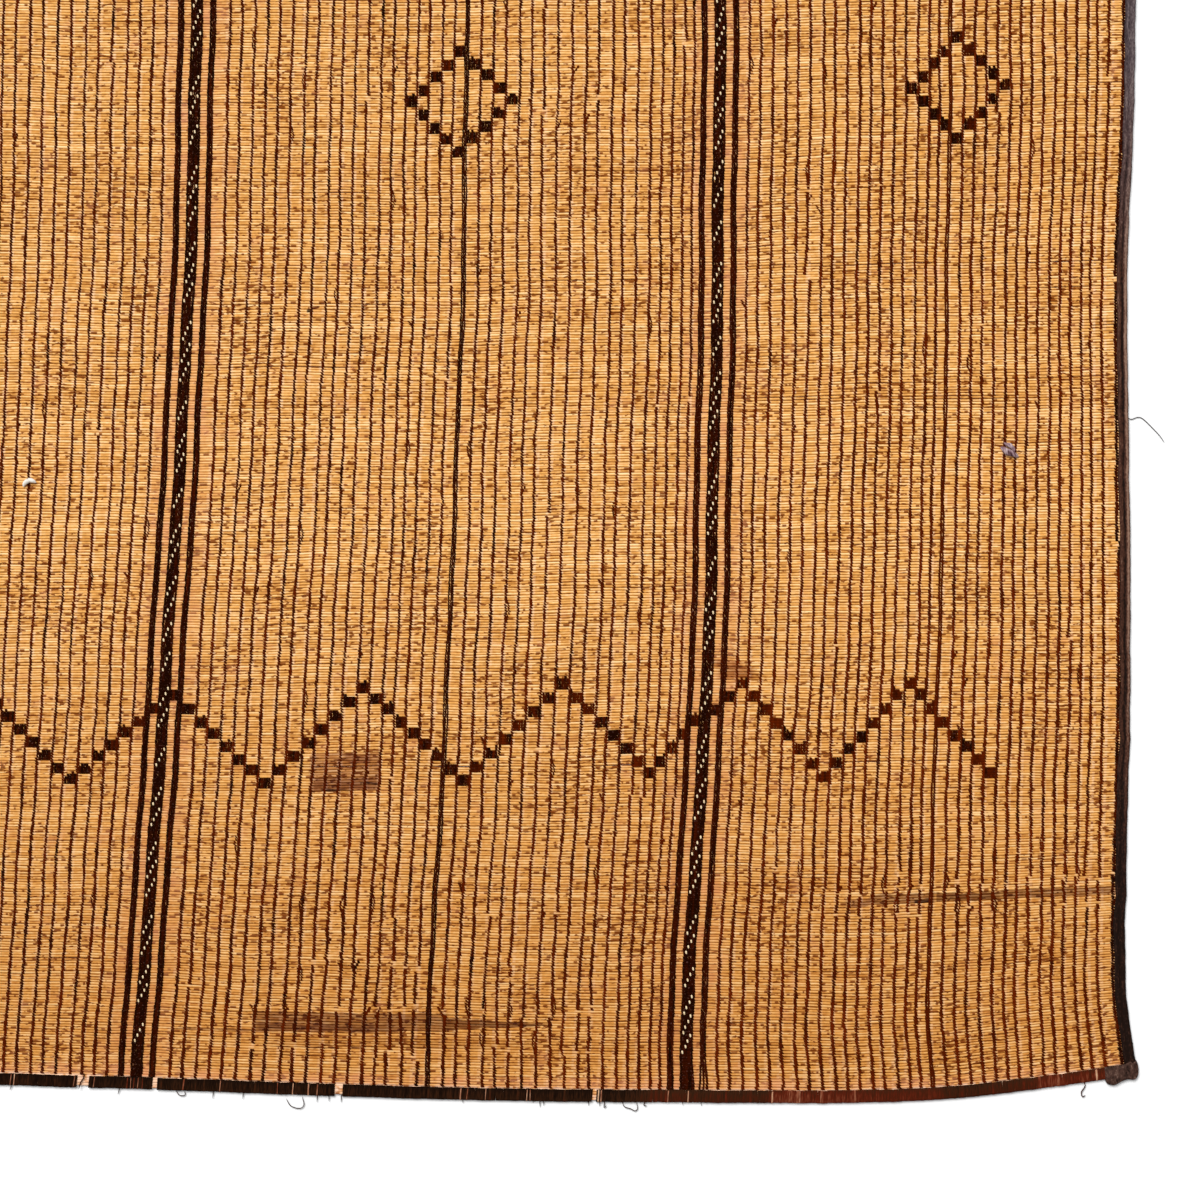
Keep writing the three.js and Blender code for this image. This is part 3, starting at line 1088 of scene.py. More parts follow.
@dataclass(frozen=True)
class FoldedLeather:
    """Vegetable-tanned leather folded over an edge, with a fine grain: painted shade makes it dark in its
    creases, and along the fold it is rubbed to a dusty mauve-brown, with a painted highlight on the crest."""

    name: str = "folded_goatskin"
    # The creases' tone, which is painted shade.
    dark: str = "170a05"
    body: str = "4a2c20"
    # The fold's tone: rubbed wear with a painted highlight.
    worn: str = "8e6e5c"
    dusty: tuple[str, str, str] = ("1e1618", "4c4246", "827878")
    scale: tuple[float, float, float] = (0.08, 0.5, 0.95)
    crease_size: tuple[float, float] = (2.273, 11.76)
    scuff_size: tuple[float, float] = (1.111, 2.381)
    grain_size: tuple[float, float] = COARSE_GRAIN
    roughness: float = 0.6
    specular: float = 0.08
    ior: float = 1.45

    def tones(self, tree: bpy.types.NodeTree, level: Any, codes: tuple[str, str, str]) -> Any:
        """Turns a level of wear and painted light into a tone, from the shaded creases to the fold."""
        return scale_of_tones(tree, level, tuple(map(Tone, self.scale, codes)))

    def material(self) -> bpy.types.Material:
        """Builds the material."""
        material, tree = new_tree(self.name)
        weave, wear = read_maps(tree)
        creases = mottling(tree, weave, self.crease_size, 4.0, 0.65)
        shift = add_node(tree, "MapRange", (creases, 0.3, 0.7, -0.2, 0.2))
        level = add_node(tree, "Math", (wear, shift), operation="ADD")
        scuffs = mottling(tree, weave, self.scuff_size, 2.0)
        shift = add_node(tree, "MapRange", (scuffs, 0.3, 0.7, -0.16, 0.16))
        level = add_node(tree, "Math", (level, shift), operation="ADD")
        brown = self.tones(tree, level, (self.dark, self.body, self.worn))
        grey = self.tones(tree, level, self.dusty)
        along = add_node(tree, "SeparateXYZ", (weave,), "Y")
        greyed = add_node(tree, "MapRange", (along, -0.17, 0.02, 0.0, 0.85))
        colour = add_node(tree, "Mix", {0: greyed, 6: brown, 7: grey}, 2, data_type="RGBA")
        grain = mottling(tree, weave, self.grain_size, 3.0)
        bump = add_node(tree, "Bump", {"Height": grain, "Strength": 0.4, "Distance": 0.0004})
        finish(tree, colour, bump, self.roughness, self.specular, self.ior)
        return material


@dataclass(frozen=True)
class WoundLace:
    """Goatskin lace wound tightly round an edge, in odd lengths of black, brown and red: a fresh
    length is matt and deep, and a rubbed one shows the pale skin under the dye."""

    name: str = "wound_goatskin_lace"
    tones: tuple[Tone, ...] = (
        Tone(0.0, "100502"),
        Tone(0.14, "1c0e06"),
        Tone(0.28, "321a0c"),
        Tone(0.42, "40190a"),
        Tone(0.56, "561c0c"),
        Tone(0.7, "763e28"),
        Tone(0.85, "a8765a"),
        Tone(1.0, "dcb690"),
    )
    strand_size: tuple[float, float] = (0.9091, 7.692)
    grain_size: tuple[float, float] = FINE_GRAIN
    roughness: float = 0.7
    specular: float = 0.02
    ior: float = 1.45

    def material(self) -> bpy.types.Material:
        """Builds the material."""
        material, tree = new_tree(self.name)
        weave, mark = read_maps(tree)
        strands = mottling(tree, weave, self.strand_size, 3.0)
        shift = add_node(tree, "MapRange", (strands, 0.3, 0.75, -0.1, 0.16))
        level = add_node(tree, "Math", (mark, shift), operation="ADD")
        colour = scale_of_tones(tree, level, self.tones)
        grain = mottling(tree, weave, self.grain_size, 2.0)
        bump = add_node(tree, "Bump", {"Height": grain, "Strength": 0.3, "Distance": 0.0003})
        finish(tree, colour, bump, self.roughness, self.specular, self.ior)
        return material


@dataclass(frozen=True)
class WornRag:
    """Old woven cotton, handled grey and matt, with painted light on its folds and painted shade, nearly
    black, between them.
    """

    name: str = "worn_cotton_rag"
    tones: tuple[Tone, ...] = (Tone(0.0, "3a1e20"), Tone(0.5, "866870"), Tone(1.0, "b7a3a3"))
    fold_size: tuple[float, float] = (2.381, 2.381)
    roughness: float = 0.85
    specular: float = 0.1
    ior: float = 1.5

    def material(self) -> bpy.types.Material:
        """Builds the material."""
        material, tree = new_tree(self.name)
        weave, mark = read_maps(tree)
        # Painted light on the folds and painted shade between them, laid out by noise.
        folds = mottling(tree, weave, self.fold_size, 3.0)
        shift = add_node(tree, "MapRange", (folds, 0.35, 0.65, -0.35, 0.35))
        level = add_node(tree, "Math", (mark, shift), operation="ADD")
        colour = scale_of_tones(tree, level, self.tones)
        finish(tree, colour, None, self.roughness, self.specular, self.ior)
        return material


@dataclass(frozen=True)
class StudioPaper:
    """Seamless white paper under the mat: matt, so it only shows the mat's soft shadow."""

    name: str = "white_paper"
    colour: str = "f8f8f8"
    roughness: float = 0.9
    specular: float = 0.5
    ior: float = 1.5

    def material(self) -> bpy.types.Material:
        """Builds the material."""
        material, tree = new_tree(self.name)
        finish(tree, linear(self.colour), None, self.roughness, self.specular, self.ior)
        return material


# Sub-assemblies


@dataclass
class StalkField:
    """The grass stalks, each a closed tube of its own, in tiles that together fill the mat."""

    warp: Warp
    material: bpy.types.Material
    width: float = 2.98
    height: float = 2.2
    middle_height: float = 1.32
    sides: int = 6
    ring_lines: tuple[int, ...] = RING_LINES
    tiles: int = 6
    inset: float = 2.4
    ragged: float = 0.5
    wander: float = 0.1
    shared: float = 0.22
    rise: float = 0.06
    each_size: float = 0.05
    lump_size: float = 0.03
    thinnest: float = 0.96
    thickest: float = 1.12
    side_pinch: tuple[float, float] = (4.0, 9.0)
    end_pinch: tuple[float, float] = (9.0, 6.0)
    pinched_height: float = 0.55
    pinched_rise: float = 0.5
    cell_reach: float = 0.47
    tone: float = 0.05
    seed: int = 11

    def build(self) -> list[bpy.types.Object]:
        """Makes the tiles, one after another along the mat."""
        rng = np.random.default_rng(self.seed)
        groups = np.array_split(np.arange(STALK_COUNT), self.tiles)
        return [self.tile(number + 1, rows, rng) for number, rows in enumerate(groups)]

    def stations(self) -> np.ndarray:
        """Gives the places across where each stalk has a ring."""
        inner = [line_across(line) for line in self.ring_lines]
        return np.array([LEFT_EDGE + self.inset, *inner, RIGHT_EDGE - self.inset])

    def tile(self, number: int, rows: np.ndarray, rng: np.random.Generator) -> bpy.types.Object:
        """Makes one tile of stalks.

        Args:
            number: the tile's number.
            rows: the numbers of its stalks.
            rng: the source of chance.

        Returns:
            The tile.
        """
        stations = self.stations()
        shape = (len(rows), len(stations))
        across = np.broadcast_to(stations, shape).copy()
        across[:, [0, -1]] += rng.uniform(-self.ragged, self.ragged, (shape[0], 2))
        along = np.broadcast_to((FIRST_STALK + rows * STALK_PITCH)[:, None], shape)
        forth = self.warp.sway(across, along)[1]
        drift = self.wander * smooth_noise(rng, shape, 2)
        drift = drift + self.shared * smooth_noise(rng, (shape[1], shape[0]), 3).T
        x, y = self.warp.lay(across, along + forth + drift)
        size = 1 + self.each_size * rng.normal(size=(shape[0], 1))
        size = size + self.lump_size * smooth_noise(rng, shape, 2)
        size = np.clip(size, self.thinnest, self.thickest)
        lift = self.rise * smooth_noise(rng, shape, 2)
        edge = np.minimum(across - LEFT_EDGE, RIGHT_EDGE - across)
        end = HALF_LENGTH - np.abs(along)
        from_side = (edge - self.side_pinch[0]) / self.side_pinch[1]
        from_end = (end - self.end_pinch[0]) / self.end_pinch[1]
        free = np.clip(np.minimum(from_side, from_end), 0, 1)
        height = self.height * size * (self.pinched_height + (1 - self.pinched_height) * free)
        middle = self.middle_height + lift + self.pinched_rise * (1 - free)
        turn = (np.arange(self.sides) + 0.5) * 2 * math.pi / self.sides
        ring_y = y[..., None] + self.width / 2 * size[..., None] * np.cos(turn)
        ring_z = np.maximum(middle[..., None] + height[..., None] / 2 * np.sin(turn), 0.05)
        rings = np.stack([np.broadcast_to(x[..., None], ring_y.shape), ring_y, ring_z], axis=-1)
        round_stalk = self.cell_reach * np.cos(turn) / np.cos(turn[0])
        woven = along[..., None] + STALK_PITCH * round_stalk
        weave = np.stack([np.broadcast_to(across[..., None], woven.shape), woven], axis=-1)
        tone = self.tone * (rng.normal(size=(shape[0], 1)) + smooth_noise(rng, shape, 1))
        gap = np.interp(across, column(ANCHORS, "across"), column(ANCHORS, "line"))
        count = rows[:, None, None] + 0.5 + round_stalk
        cell = np.stack(np.broadcast_arrays(gap[..., None], count), axis=-1)
        surface = Surface()
        surface.add_loft(rings, weave, np.broadcast_to(tone[..., None], woven.shape), cell=cell)
        tile = surface.piece(f"stalk_field_{number}", self.material, "grass_stalks")
        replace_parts(tile, "stalk_field")
        return tile


@dataclass(frozen=True)
class Run:
    """One lace: its place across, its first and last stalk, and how it looks."""

    across: float
    first: int
    last: int
    width: float
    dye: float
    wander: float = 0.2
    jitter: float = 0.2
    slant: float = 0.72
    pinch: float = 0.84
    lift: float = 0.32
    breaks: float = 0.0
    stray: float = 0.0
    swell: float = 0.0
    lean: float = 0.0
    bow: float = 0.0
    mottle: float = 1.0


@dataclass(frozen=True)
class Seam:
    """A worn stretch where laces broke and were tied on again beside themselves."""

    start: float
    stop: float
    along: float
    half: float
    chance: float


SEAMS = (
    Seam(330.0, 612.0, -734.0, 12.0, 0.75),
    Seam(-152.0, 150.0, -853.0, 17.0, 0.6),
    Seam(130.0, 230.0, -660.0, 20.0, 0.25),
    Seam(-120.0, 160.0, -770.0, 25.0, 0.3),
)


# How laces look side by side: tight ones close up, and loose ones leave specks of stalk.
TIGHT = {"wander": 0.06, "jitter": 0.14, "slant": 0.28, "pinch": 0.93}
LOOSE = {"wander": 0.16, "jitter": 0.12, "slant": 0.36, "pinch": 0.86}


@dataclass
class Lacing:
    """Leather laces twined round the stalks: each passes over one stalk after another. The laces
    stray and swell towards the front, and swell a little under the end bindings."""

    warp: Warp
    material: bpy.types.Material
    seed: int = 23
    dip: float = 0.62
    slants: tuple[float, float] = (0.3, 1.5)
    uneven: tuple[float, float] = (-0.25, 0.35)
    stray_start: float = -879.0
    stray_reach: float = 26.0
    swell_start: float = -500.0
    swell_reach: float = 400.0
    end_start: float = 896.0
    end_reach: float = 9.0
    end_swell: float = 0.2
    blotch: float = 0.16
    speckle: float = 0.08
    seam_spread: float = 2.5
    jump_reach: tuple[float, float] = (14.0, 40.0)
    under_wander: float = 0.25
    under_height: float = 0.06

    def __post_init__(self) -> None:
        """Starts the source of chance."""
        self.rng = np.random.default_rng(self.seed)

    def over(self, surface: Surface, run: Run) -> None:
        """Adds a lace on the top side, with a crest on each stalk.

        Args:
            surface: where the lace goes.
            run: the lace.
        """
        count = run.last - run.first + 1
        part = np.tile([-0.5, 0.0, 0.5], count)
        stalk = np.repeat(np.arange(count), 3)
        along = FIRST_STALK + STALK_PITCH * (run.first + stalk + part)
        drift = run.wander * smooth_noise(self.rng, (1, count), 5)[0]
        drift = drift + run.jitter * self.rng.normal(size=count)
        jump, gone = self.jumps(run, FIRST_STALK + STALK_PITCH * (run.first + np.arange(count)))
        slant = run.slant * self.rng.uniform(*self.slants, count)
        stray = run.stray * np.clip((self.stray_start - along) / self.stray_reach, 0, 1)
        across = run.across + (drift + jump)[stalk] - 2 * part * slant[stalk] + stray
        across = across + run.lean * (stalk + part) + run.bow * np.sin(math.pi * (stalk + 0.5) / count)
        crest = 1 - 2 * np.abs(part)
        half = run.width / 2 * (run.pinch + (1 - run.pinch) * crest)
        uneven = run.jitter * (smooth_noise(self.rng, (1, count), 2)[0] + self.rng.normal(size=count))
        half = half * np.exp(np.clip(0.5 * uneven, *self.uneven))[stalk]
        front = np.clip((self.swell_start - along) / self.swell_reach, 0, 1)
        end = np.clip((np.abs(along) - self.end_start) / self.end_reach, 0, 1)
        half = half * (1 + run.swell * front) * (1 + self.end_swell * run.swell * end)
        blotch = self.blotch * smooth_noise(self.rng, (1, count), 7)[0]
        speckle = self.speckle * self.rng.normal(size=count)
        dye = np.clip(run.dye + run.mottle * (blotch + speckle), 0, 1)
        height = FIELD_TOP + run.lift - self.dip * (1 - crest)
        keep = np.tile([True, True, False], count) & ~gone[stalk]
        self.ribbon(surface, across, along, half, height, dye[stalk], keep[:-1])

    def ribbon(
        self,
        surface: Surface,
        across: np.ndarray,
        along: np.ndarray,
        half: Any,
        height: Any,
        dye: Any,
        keep: np.ndarray | slice = slice(None),
        flip: bool = False,
    ) -> None:
        """Adds a lace as a ribbon two points wide.

        Args:
            surface: where the lace goes.
            across: the places across of its middle.
            along: the places along of its middle.
            half: half its width.
            height: its height over the floor.
            dye: how red it is.
            keep: which stretches of it are there, where not all are.
            flip: turns its faces over.
        """
        rows_across = np.stack([across - half, across + half], axis=1)
        rows_along = np.repeat(along[:, None], 2, axis=1)
        height, dye = (np.broadcast_to(value, along.shape)[:, None] for value in (height, dye))
        points = self.warp.points(rows_across, rows_along, height, True)
        weave = np.stack([rows_across, rows_along], axis=-1)
        surface.add_strip(points, weave, dye, keep, flip)

    def jumps(self, run: Run, along: np.ndarray) -> tuple[np.ndarray, np.ndarray]:
        """Gives the places where a lace breaks off and goes on beside itself.

        Args:
            run: the lace.
            along: each stalk's distance along.

        Returns:
            The shift across at each stalk, and which crossings are missing.
        """
        shift = np.zeros(len(along))
        gone = np.zeros(len(along), bool)
        if run.breaks == 0:
            return shift, gone
        places = [
            (place, self.rng.integers(0, 3))
            for place in self.rng.uniform(along[0], along[-1], self.rng.poisson(run.breaks))
        ]
        for seam in SEAMS:
            if seam.start < run.across < seam.stop:
                places += [
                    (seam.along + offset + self.rng.normal(0, self.seam_spread), self.rng.integers(0, 3))
                    for offset in (-seam.half, seam.half)
                    if self.rng.random() < seam.chance
                ]
        for place, length in places:
            away = along - place
            reach = np.exp(-np.abs(away) / self.rng.uniform(*self.jump_reach))
            shift += self.rng.normal() * np.sign(away) * reach
            gone |= np.abs(away) < length * STALK_PITCH / 2
        return shift, gone

    def under(self, surface: Surface, run: Run) -> None:
        """Adds a plain lace on the underside.

        Args:
            surface: where the lace goes.
            run: the lace.
        """
        along = FIRST_STALK + STALK_PITCH * np.arange(run.first, run.last + 1, 2, dtype=float)
        across = run.across + self.under_wander * self.rng.normal(size=len(along))
        self.ribbon(surface, across, along, run.width / 2, self.under_height, run.dye, flip=True)

    def side_by_side(
        self, middle: float, width: float, count: int, model: Run, loose: bool = False
    ) -> list[Run]:
        """Lays several laces beside each other.

        Args:
            middle: the group's place across.
            width: the group's width.
            count: how many laces.
            model: a lace whose other values they take.
            loose: whether the laces leave specks of stalk between them.

        Returns:
            The laces.
        """
        pitch = width / count
        return [
            replace(
                model,
                across=middle + (n - (count - 1) / 2) * pitch,
                width=pitch * (0.98 if loose else 1.08),
                dye=float(np.clip(model.dye + 0.08 * model.mottle * self.rng.normal(), 0, 1)),
                lift=model.lift + 0.04 * (n % 2),
                stray=model.stray * (n - (count - 1) / 2),
                **(LOOSE if loose else TIGHT),
            )
            for n in range(count)
        ]


# How red the thin laces are, how much wider or narrower, and how much they swell in front, by line.
LACE_DYE = (Level(-54, 0.52), Level(0, 0.55), Level(20, 0.68), Level(53, 0.74), Level(54, 0.2))
LACE_WIDTH = (Level(-30, 1.03), Level(10, 1.02), Level(30, 1.16), Level(54, 1.18))
LACE_SWELL = (Level(-54, 0.34), Level(-30, 0.3), Level(0, 0.2), Level(54, 0.06))
EDGE_LINES = (-55, 54)


@dataclass
class ThinLaces:
    """The thin laces of the panels, in six groups between the heavier lines."""

    lacing: Lacing
    groups: tuple[tuple[int, int], ...] = (
        (-55, -41),
        (-39, -23),
        (-19, -1),
        (1, 18),
        (22, 38),
        (40, 54),
    )
    edge_width: float = 1.2
    spread: float = 0.5
    width_share: tuple[float, float] = (0.92, 1.08)
    breaks: float = 0.8
    stub_count: float = 2.6
    stub_lift: float = 0.28
    bowed_share: float = 0.35

    def stubs(self, surface: Surface, run: Run) -> None:
        """Adds the short ends left beside a lace where it was mended.

        Args:
            surface: where the ends go.
            run: the lace.
        """
        rng = self.lacing.rng
        starts = list(rng.integers(run.first + 8, run.last - 16, rng.poisson(self.stub_count)))
        for seam in SEAMS:
            if seam.start < run.across < seam.stop:
                starts += [
                    stalk_at(seam.along + offset) - 2
                    for offset in (-seam.half, seam.half)
                    if rng.random() < 0.5 * seam.chance
                ]
        for start in starts:
            side = rng.choice((-1.0, 1.0))
            short = replace(run, first=int(start), breaks=0.0, lift=self.stub_lift)
            if rng.random() < self.bowed_share:
                last = int(start + rng.integers(6, 10))
                short = replace(short, last=last, width=0.6 * run.width, bow=side * rng.uniform(2.2, 3.4))
            else:
                last = int(start + rng.integers(1, 4))
                short = replace(short, last=last, width=0.8 * run.width, lean=side * rng.uniform(0.8, 1.5))
            self.lacing.over(surface, short)

    def build(self) -> list[bpy.types.Object]:
        """Makes one piece of each group, and one of all their undersides."""
        rng = self.lacing.rng
        pieces = []
        below = Surface()
        for number, (start, stop) in enumerate(self.groups, 1):
            surface = Surface()
            for line in range(start, stop + 1):
                middle = line_across(line) + self.spread * rng.normal()
                width = LINE_WIDTHS[Line.THIN] * rng.uniform(*self.width_share)
                width *= read_scale(LACE_WIDTH, line)
                if line in EDGE_LINES:
                    width *= self.edge_width
                run = Run(middle, FIRST_LACED, LAST_LACED, width, read_scale(LACE_DYE, line))
                run = replace(run, breaks=self.breaks, swell=read_scale(LACE_SWELL, line))
                self.lacing.over(surface, run)
                self.stubs(surface, run)
                self.lacing.under(below, run)
            pieces.append(surface.piece(f"thin_laces_{number}", self.lacing.material, "lace_leather"))
        pieces.append(below.piece("laces_underside", self.lacing.material, "lace_leather"))
        return pieces


@dataclass(frozen=True)
class HeavyLine:
    """A heavier line: its number, the frame's node it stands for, how red it is, how far its laces
    stray in front, and how much they swell there."""

    line: int
    name: str
    dye: float
    stray: float = 0.0
    swell: float = 0.1


HEAVY_LINES = (
    HeavyLine(-40, "panel_line_left", 0.3),
    HeavyLine(0, "panel_line_centre", 0.2),
    HeavyLine(39, "panel_line_right", 0.55),
    HeavyLine(-22, "band_left_lace_1", 0.08),
    HeavyLine(-21, "band_left_lace_2", 0.03),
    HeavyLine(-20, "band_left_lace_3", 0.08),
    HeavyLine(19, "band_right_lace_1", 0.18),
    HeavyLine(20, "band_right_lace_2", 0.06, 0.4, 0.25),
    HeavyLine(21, "band_right_lace_3", 0.2, 1.5, 0.0),
)
LACES_IN_LINE = {Line.PANEL: 2, Line.CENTRE: 3, Line.BAND_SIDE: 3, Line.BAND_CENTRE: 5}


@dataclass
class HeavyLines:
    """The heavier lines: three panel lines, and two bands of three lines each."""

    lacing: Lacing
    dots: bpy.types.Material
    lift: float = 0.45
    dot_width: float = 1.7
    dot_length: float = 3.0
    dot_lift: float = 0.62
    dots_in_row: int = 4
    dot_spacing: float = 2.1
    dots_clear: int = 17
    chance: float = 0.25

    def build(self) -> list[bpy.types.Object]:
        """Makes each line as a piece, and the pale dots in the middle of the bands."""
        pieces = [self.line(heavy) for heavy in HEAVY_LINES]
        pieces += [self.dotted(Side.LEFT, -21), self.dotted(Side.RIGHT, 20)]
        return pieces

    def line(self, heavy: HeavyLine) -> bpy.types.Object:
        """Makes one line of laces side by side.

        Args:
            heavy: the line.

        Returns:
            The piece.
        """
        kind = line_kind(heavy.line)
        model = Run(0.0, FIRST_LACED, LAST_LACED, 0.0, heavy.dye, lift=self.lift, mottle=0.5)
        model = replace(model, stray=heavy.stray, swell=heavy.swell)
        surface = Surface()
        middle, width, count = line_across(heavy.line), LINE_WIDTHS[kind], LACES_IN_LINE[kind]
        loose = kind in (Line.PANEL, Line.CENTRE)
        for run in self.lacing.side_by_side(middle, width, count, model, loose):
            self.lacing.over(surface, run)
            self.lacing.under(surface, run)
        piece = surface.piece(f"{heavy.name}_laced", self.lacing.material, "lace_leather")
        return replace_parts(piece, heavy.name)

    def dotted(self, side: Side, line: int) -> bpy.types.Object:
        """Makes the pale dots where the stalks show between the laces of a band's middle line.

        Args:
            side: which band.
            line: the middle line's number.

        Returns:
            The piece.
        """
        rng = self.lacing.rng
        surface = Surface()
        row = self.dots_clear
        while row < STALK_COUNT - self.dots_clear + 1:
            for _ in range(rng.integers(1, 4)):
                for dot in range(self.dots_in_row):
                    slant = ((self.dots_in_row - 1) / 2 - dot) * self.dot_spacing
                    across = line_across(line) + slant + self.chance * rng.normal()
                    stalk = row + 2 * (self.dots_in_row - 1 - dot)
                    self.dot(surface, across, FIRST_STALK + STALK_PITCH * stalk)
                row += int(rng.integers(7, 9))
            row += int(rng.integers(2, 9))
        name = f"band_{side.name.lower()}_dots"
        return surface.piece(name, self.dots, "grass_stalks")

    def dot(self, surface: Surface, across: float, along: float) -> None:
        """Adds one dot, a short raised piece of stalk.

        Args:
            surface: where the dot goes.
            across: its place across.
            along: its place along.
        """
        steps = np.linspace(-1, 1, 5)
        fade = np.sqrt(np.maximum(1 - (steps * 0.92) ** 2, 0))
        half = self.dot_width / 2 * fade
        rows_across = across + np.stack([-half, 0 * half, half], axis=1) - 0.25 * steps[:, None]
        rows_along = along + np.repeat((steps * self.dot_length / 2)[:, None], 3, axis=1)
        top = FIELD_TOP + self.dot_lift
        height = top - 0.5 * (1 - fade[:, None]) - np.array([0.3, 0.0, 0.3])[None]
        points = self.lacing.warp.points(rows_across, rows_along, height, True)
        surface.add_strip(points, np.stack([rows_across, rows_along], axis=-1), 0.0)


@dataclass(frozen=True)
class Turn:
    """A turning point of the zigzag: the gap between lace lines, and the distance along."""

    gap: int
    along: float


ZIGZAG = (
    Turn(-42, -624.0),
    Turn(-35, -540.0),
    Turn(-28, -625.0),
    Turn(-21, -545.0),
    Turn(-14, -626.0),
    Turn(-7, -539.0),
    Turn(1, -623.5),
    Turn(8, -536.0),
    Turn(15, -620.0),
    Turn(22, -537.0),
    Turn(29, -621.0),
    Turn(36, -538.0),
    Turn(43, -621.0),
)


# How red the squares of the borders are before chance, by the gap they fill.
BORDER_REDNESS = (Level(-54, 0.02), Level(-5, 0.06), Level(10, 0.25), Level(53, 0.46))


@dataclass
class Squares:
    """Small squares of short laces: a zigzag border near each end and a row of diamonds between."""

    lacing: Lacing
    stalks: int = 4
    lace_width: float = 2.1
    diamond_gaps: tuple[int, ...] = (-41, -1, 39)
    diamond_reach: int = 4
    diamond_step: float = 11.4
    diamond_redness: float = -0.04
    lift: float = 0.4
    shades: tuple[float, ...] = (-0.25, 0.0, 0.18)
    longer: tuple[int, ...] = (-1, 0, 0, 0, 0, 0, 0, 0, 0, 0, 0, 1)

    def square(self, surface: Surface, gap: int, along: float, redness: float) -> None:
        """Adds one square, which fills its gap between two lace lines.

        Args:
            surface: where the square goes.
            gap: the number of the line at its left.
            along: its middle.
            redness: how red the dye is there, before chance: 0 is black and 1 red.
        """
        rng = self.lacing.rng
        left = line_across(gap) + LINE_WIDTHS[line_kind(gap)] / 2
        right = line_across(gap + 1) - LINE_WIDTHS[line_kind(gap + 1)] / 2
        count = max(2, round((right - left) / self.lace_width))
        dye = float(np.clip(redness + rng.choice(self.shades), 0, 1))
        first = stalk_at(along) - self.stalks // 2 + 1
        model = Run(0.0, first, first + self.stalks - 1, 0.0, dye, lift=self.lift)
        width = right - left + rng.uniform(0.1, 0.9)
        for run in self.lacing.side_by_side((left + right) / 2, width, count, model):
            last = run.last + int(rng.choice(self.longer))
            shade = float(np.clip(run.dye + 0.08 * rng.normal(), 0, 1))
            self.lacing.over(surface, replace(run, last=last, dye=shade))

    def build(self) -> list[bpy.types.Object]:
        """Makes the two borders and the diamonds."""
        pieces = []
        for end in End:
            surface = Surface()
            for gap in range(ZIGZAG[0].gap, ZIGZAG[-1].gap + 1):
                along = float(np.interp(gap, column(ZIGZAG, "gap"), column(ZIGZAG, "along")))
                self.square(surface, gap, along * -end.value, read_scale(BORDER_REDNESS, gap))
            name = f"zigzag_{end.name.lower()}"
            pieces.append(surface.piece(name, self.lacing.material, "lace_leather"))
        surface = Surface()
        for middle in self.diamond_gaps:
            for step in range(-self.diamond_reach, self.diamond_reach + 1):
                reach = (self.diamond_reach - abs(step)) * self.diamond_step
                for along in {reach, -reach}:
                    self.square(surface, middle + step, along, self.diamond_redness)
        pieces.append(surface.piece("diamonds", self.lacing.material, "lace_leather"))
        return pieces


@dataclass(frozen=True)
class SectionPoint:
    """A point of the folded leather's section: its part of the width from the fold, its height, and how
    worn the leather is there, a level that also holds painted shade in the groove and at the inner edge
    and a painted highlight on the crest."""

    inward: float
    height: float
    wear: float


# The wear column holds painted light as well as wear: painted shade in the groove between the two rolls
# and at the inner edge, and a painted highlight, with the rubbing, on the crest of the roll at the mat's
# edge.
FOLD_SECTION = (
    SectionPoint(1.0, 2.62, 0.2),
    SectionPoint(0.97, 3.15, 0.3),
    SectionPoint(0.85, 3.42, 0.45),
    SectionPoint(0.68, 3.45, 0.42),
    SectionPoint(0.56, 3.15, 0.12),
    SectionPoint(0.50, 2.95, 0.0),
    SectionPoint(0.44, 3.25, 0.15),
    SectionPoint(0.34, 3.65, 0.6),
    SectionPoint(0.22, 3.80, 0.95),
    SectionPoint(0.10, 3.50, 0.75),
    SectionPoint(0.025, 2.75, 0.45),
    SectionPoint(0.0, 1.85, 0.25),
    SectionPoint(0.03, 0.80, 0.2),
    SectionPoint(0.12, 0.12, 0.2),
    SectionPoint(0.50, 0.04, 0.3),
    SectionPoint(1.0, 0.06, 0.3),
    SectionPoint(1.0, 0.55, 0.2),
    SectionPoint(0.30, 0.65, 0.2),
    SectionPoint(0.20, 1.80, 0.2),
    SectionPoint(0.30, 2.60, 0.2),
    SectionPoint(0.60, 2.50, 0.2),
    SectionPoint(0.90, 2.50, 0.2),
)


# How far the wear of a side's fold shows, by its place along.
RUBBING = (Level(-760.0, 0.12), Level(-700.0, 0.22), Level(-600.0, 0.6), Level(-460.0, 1.0))


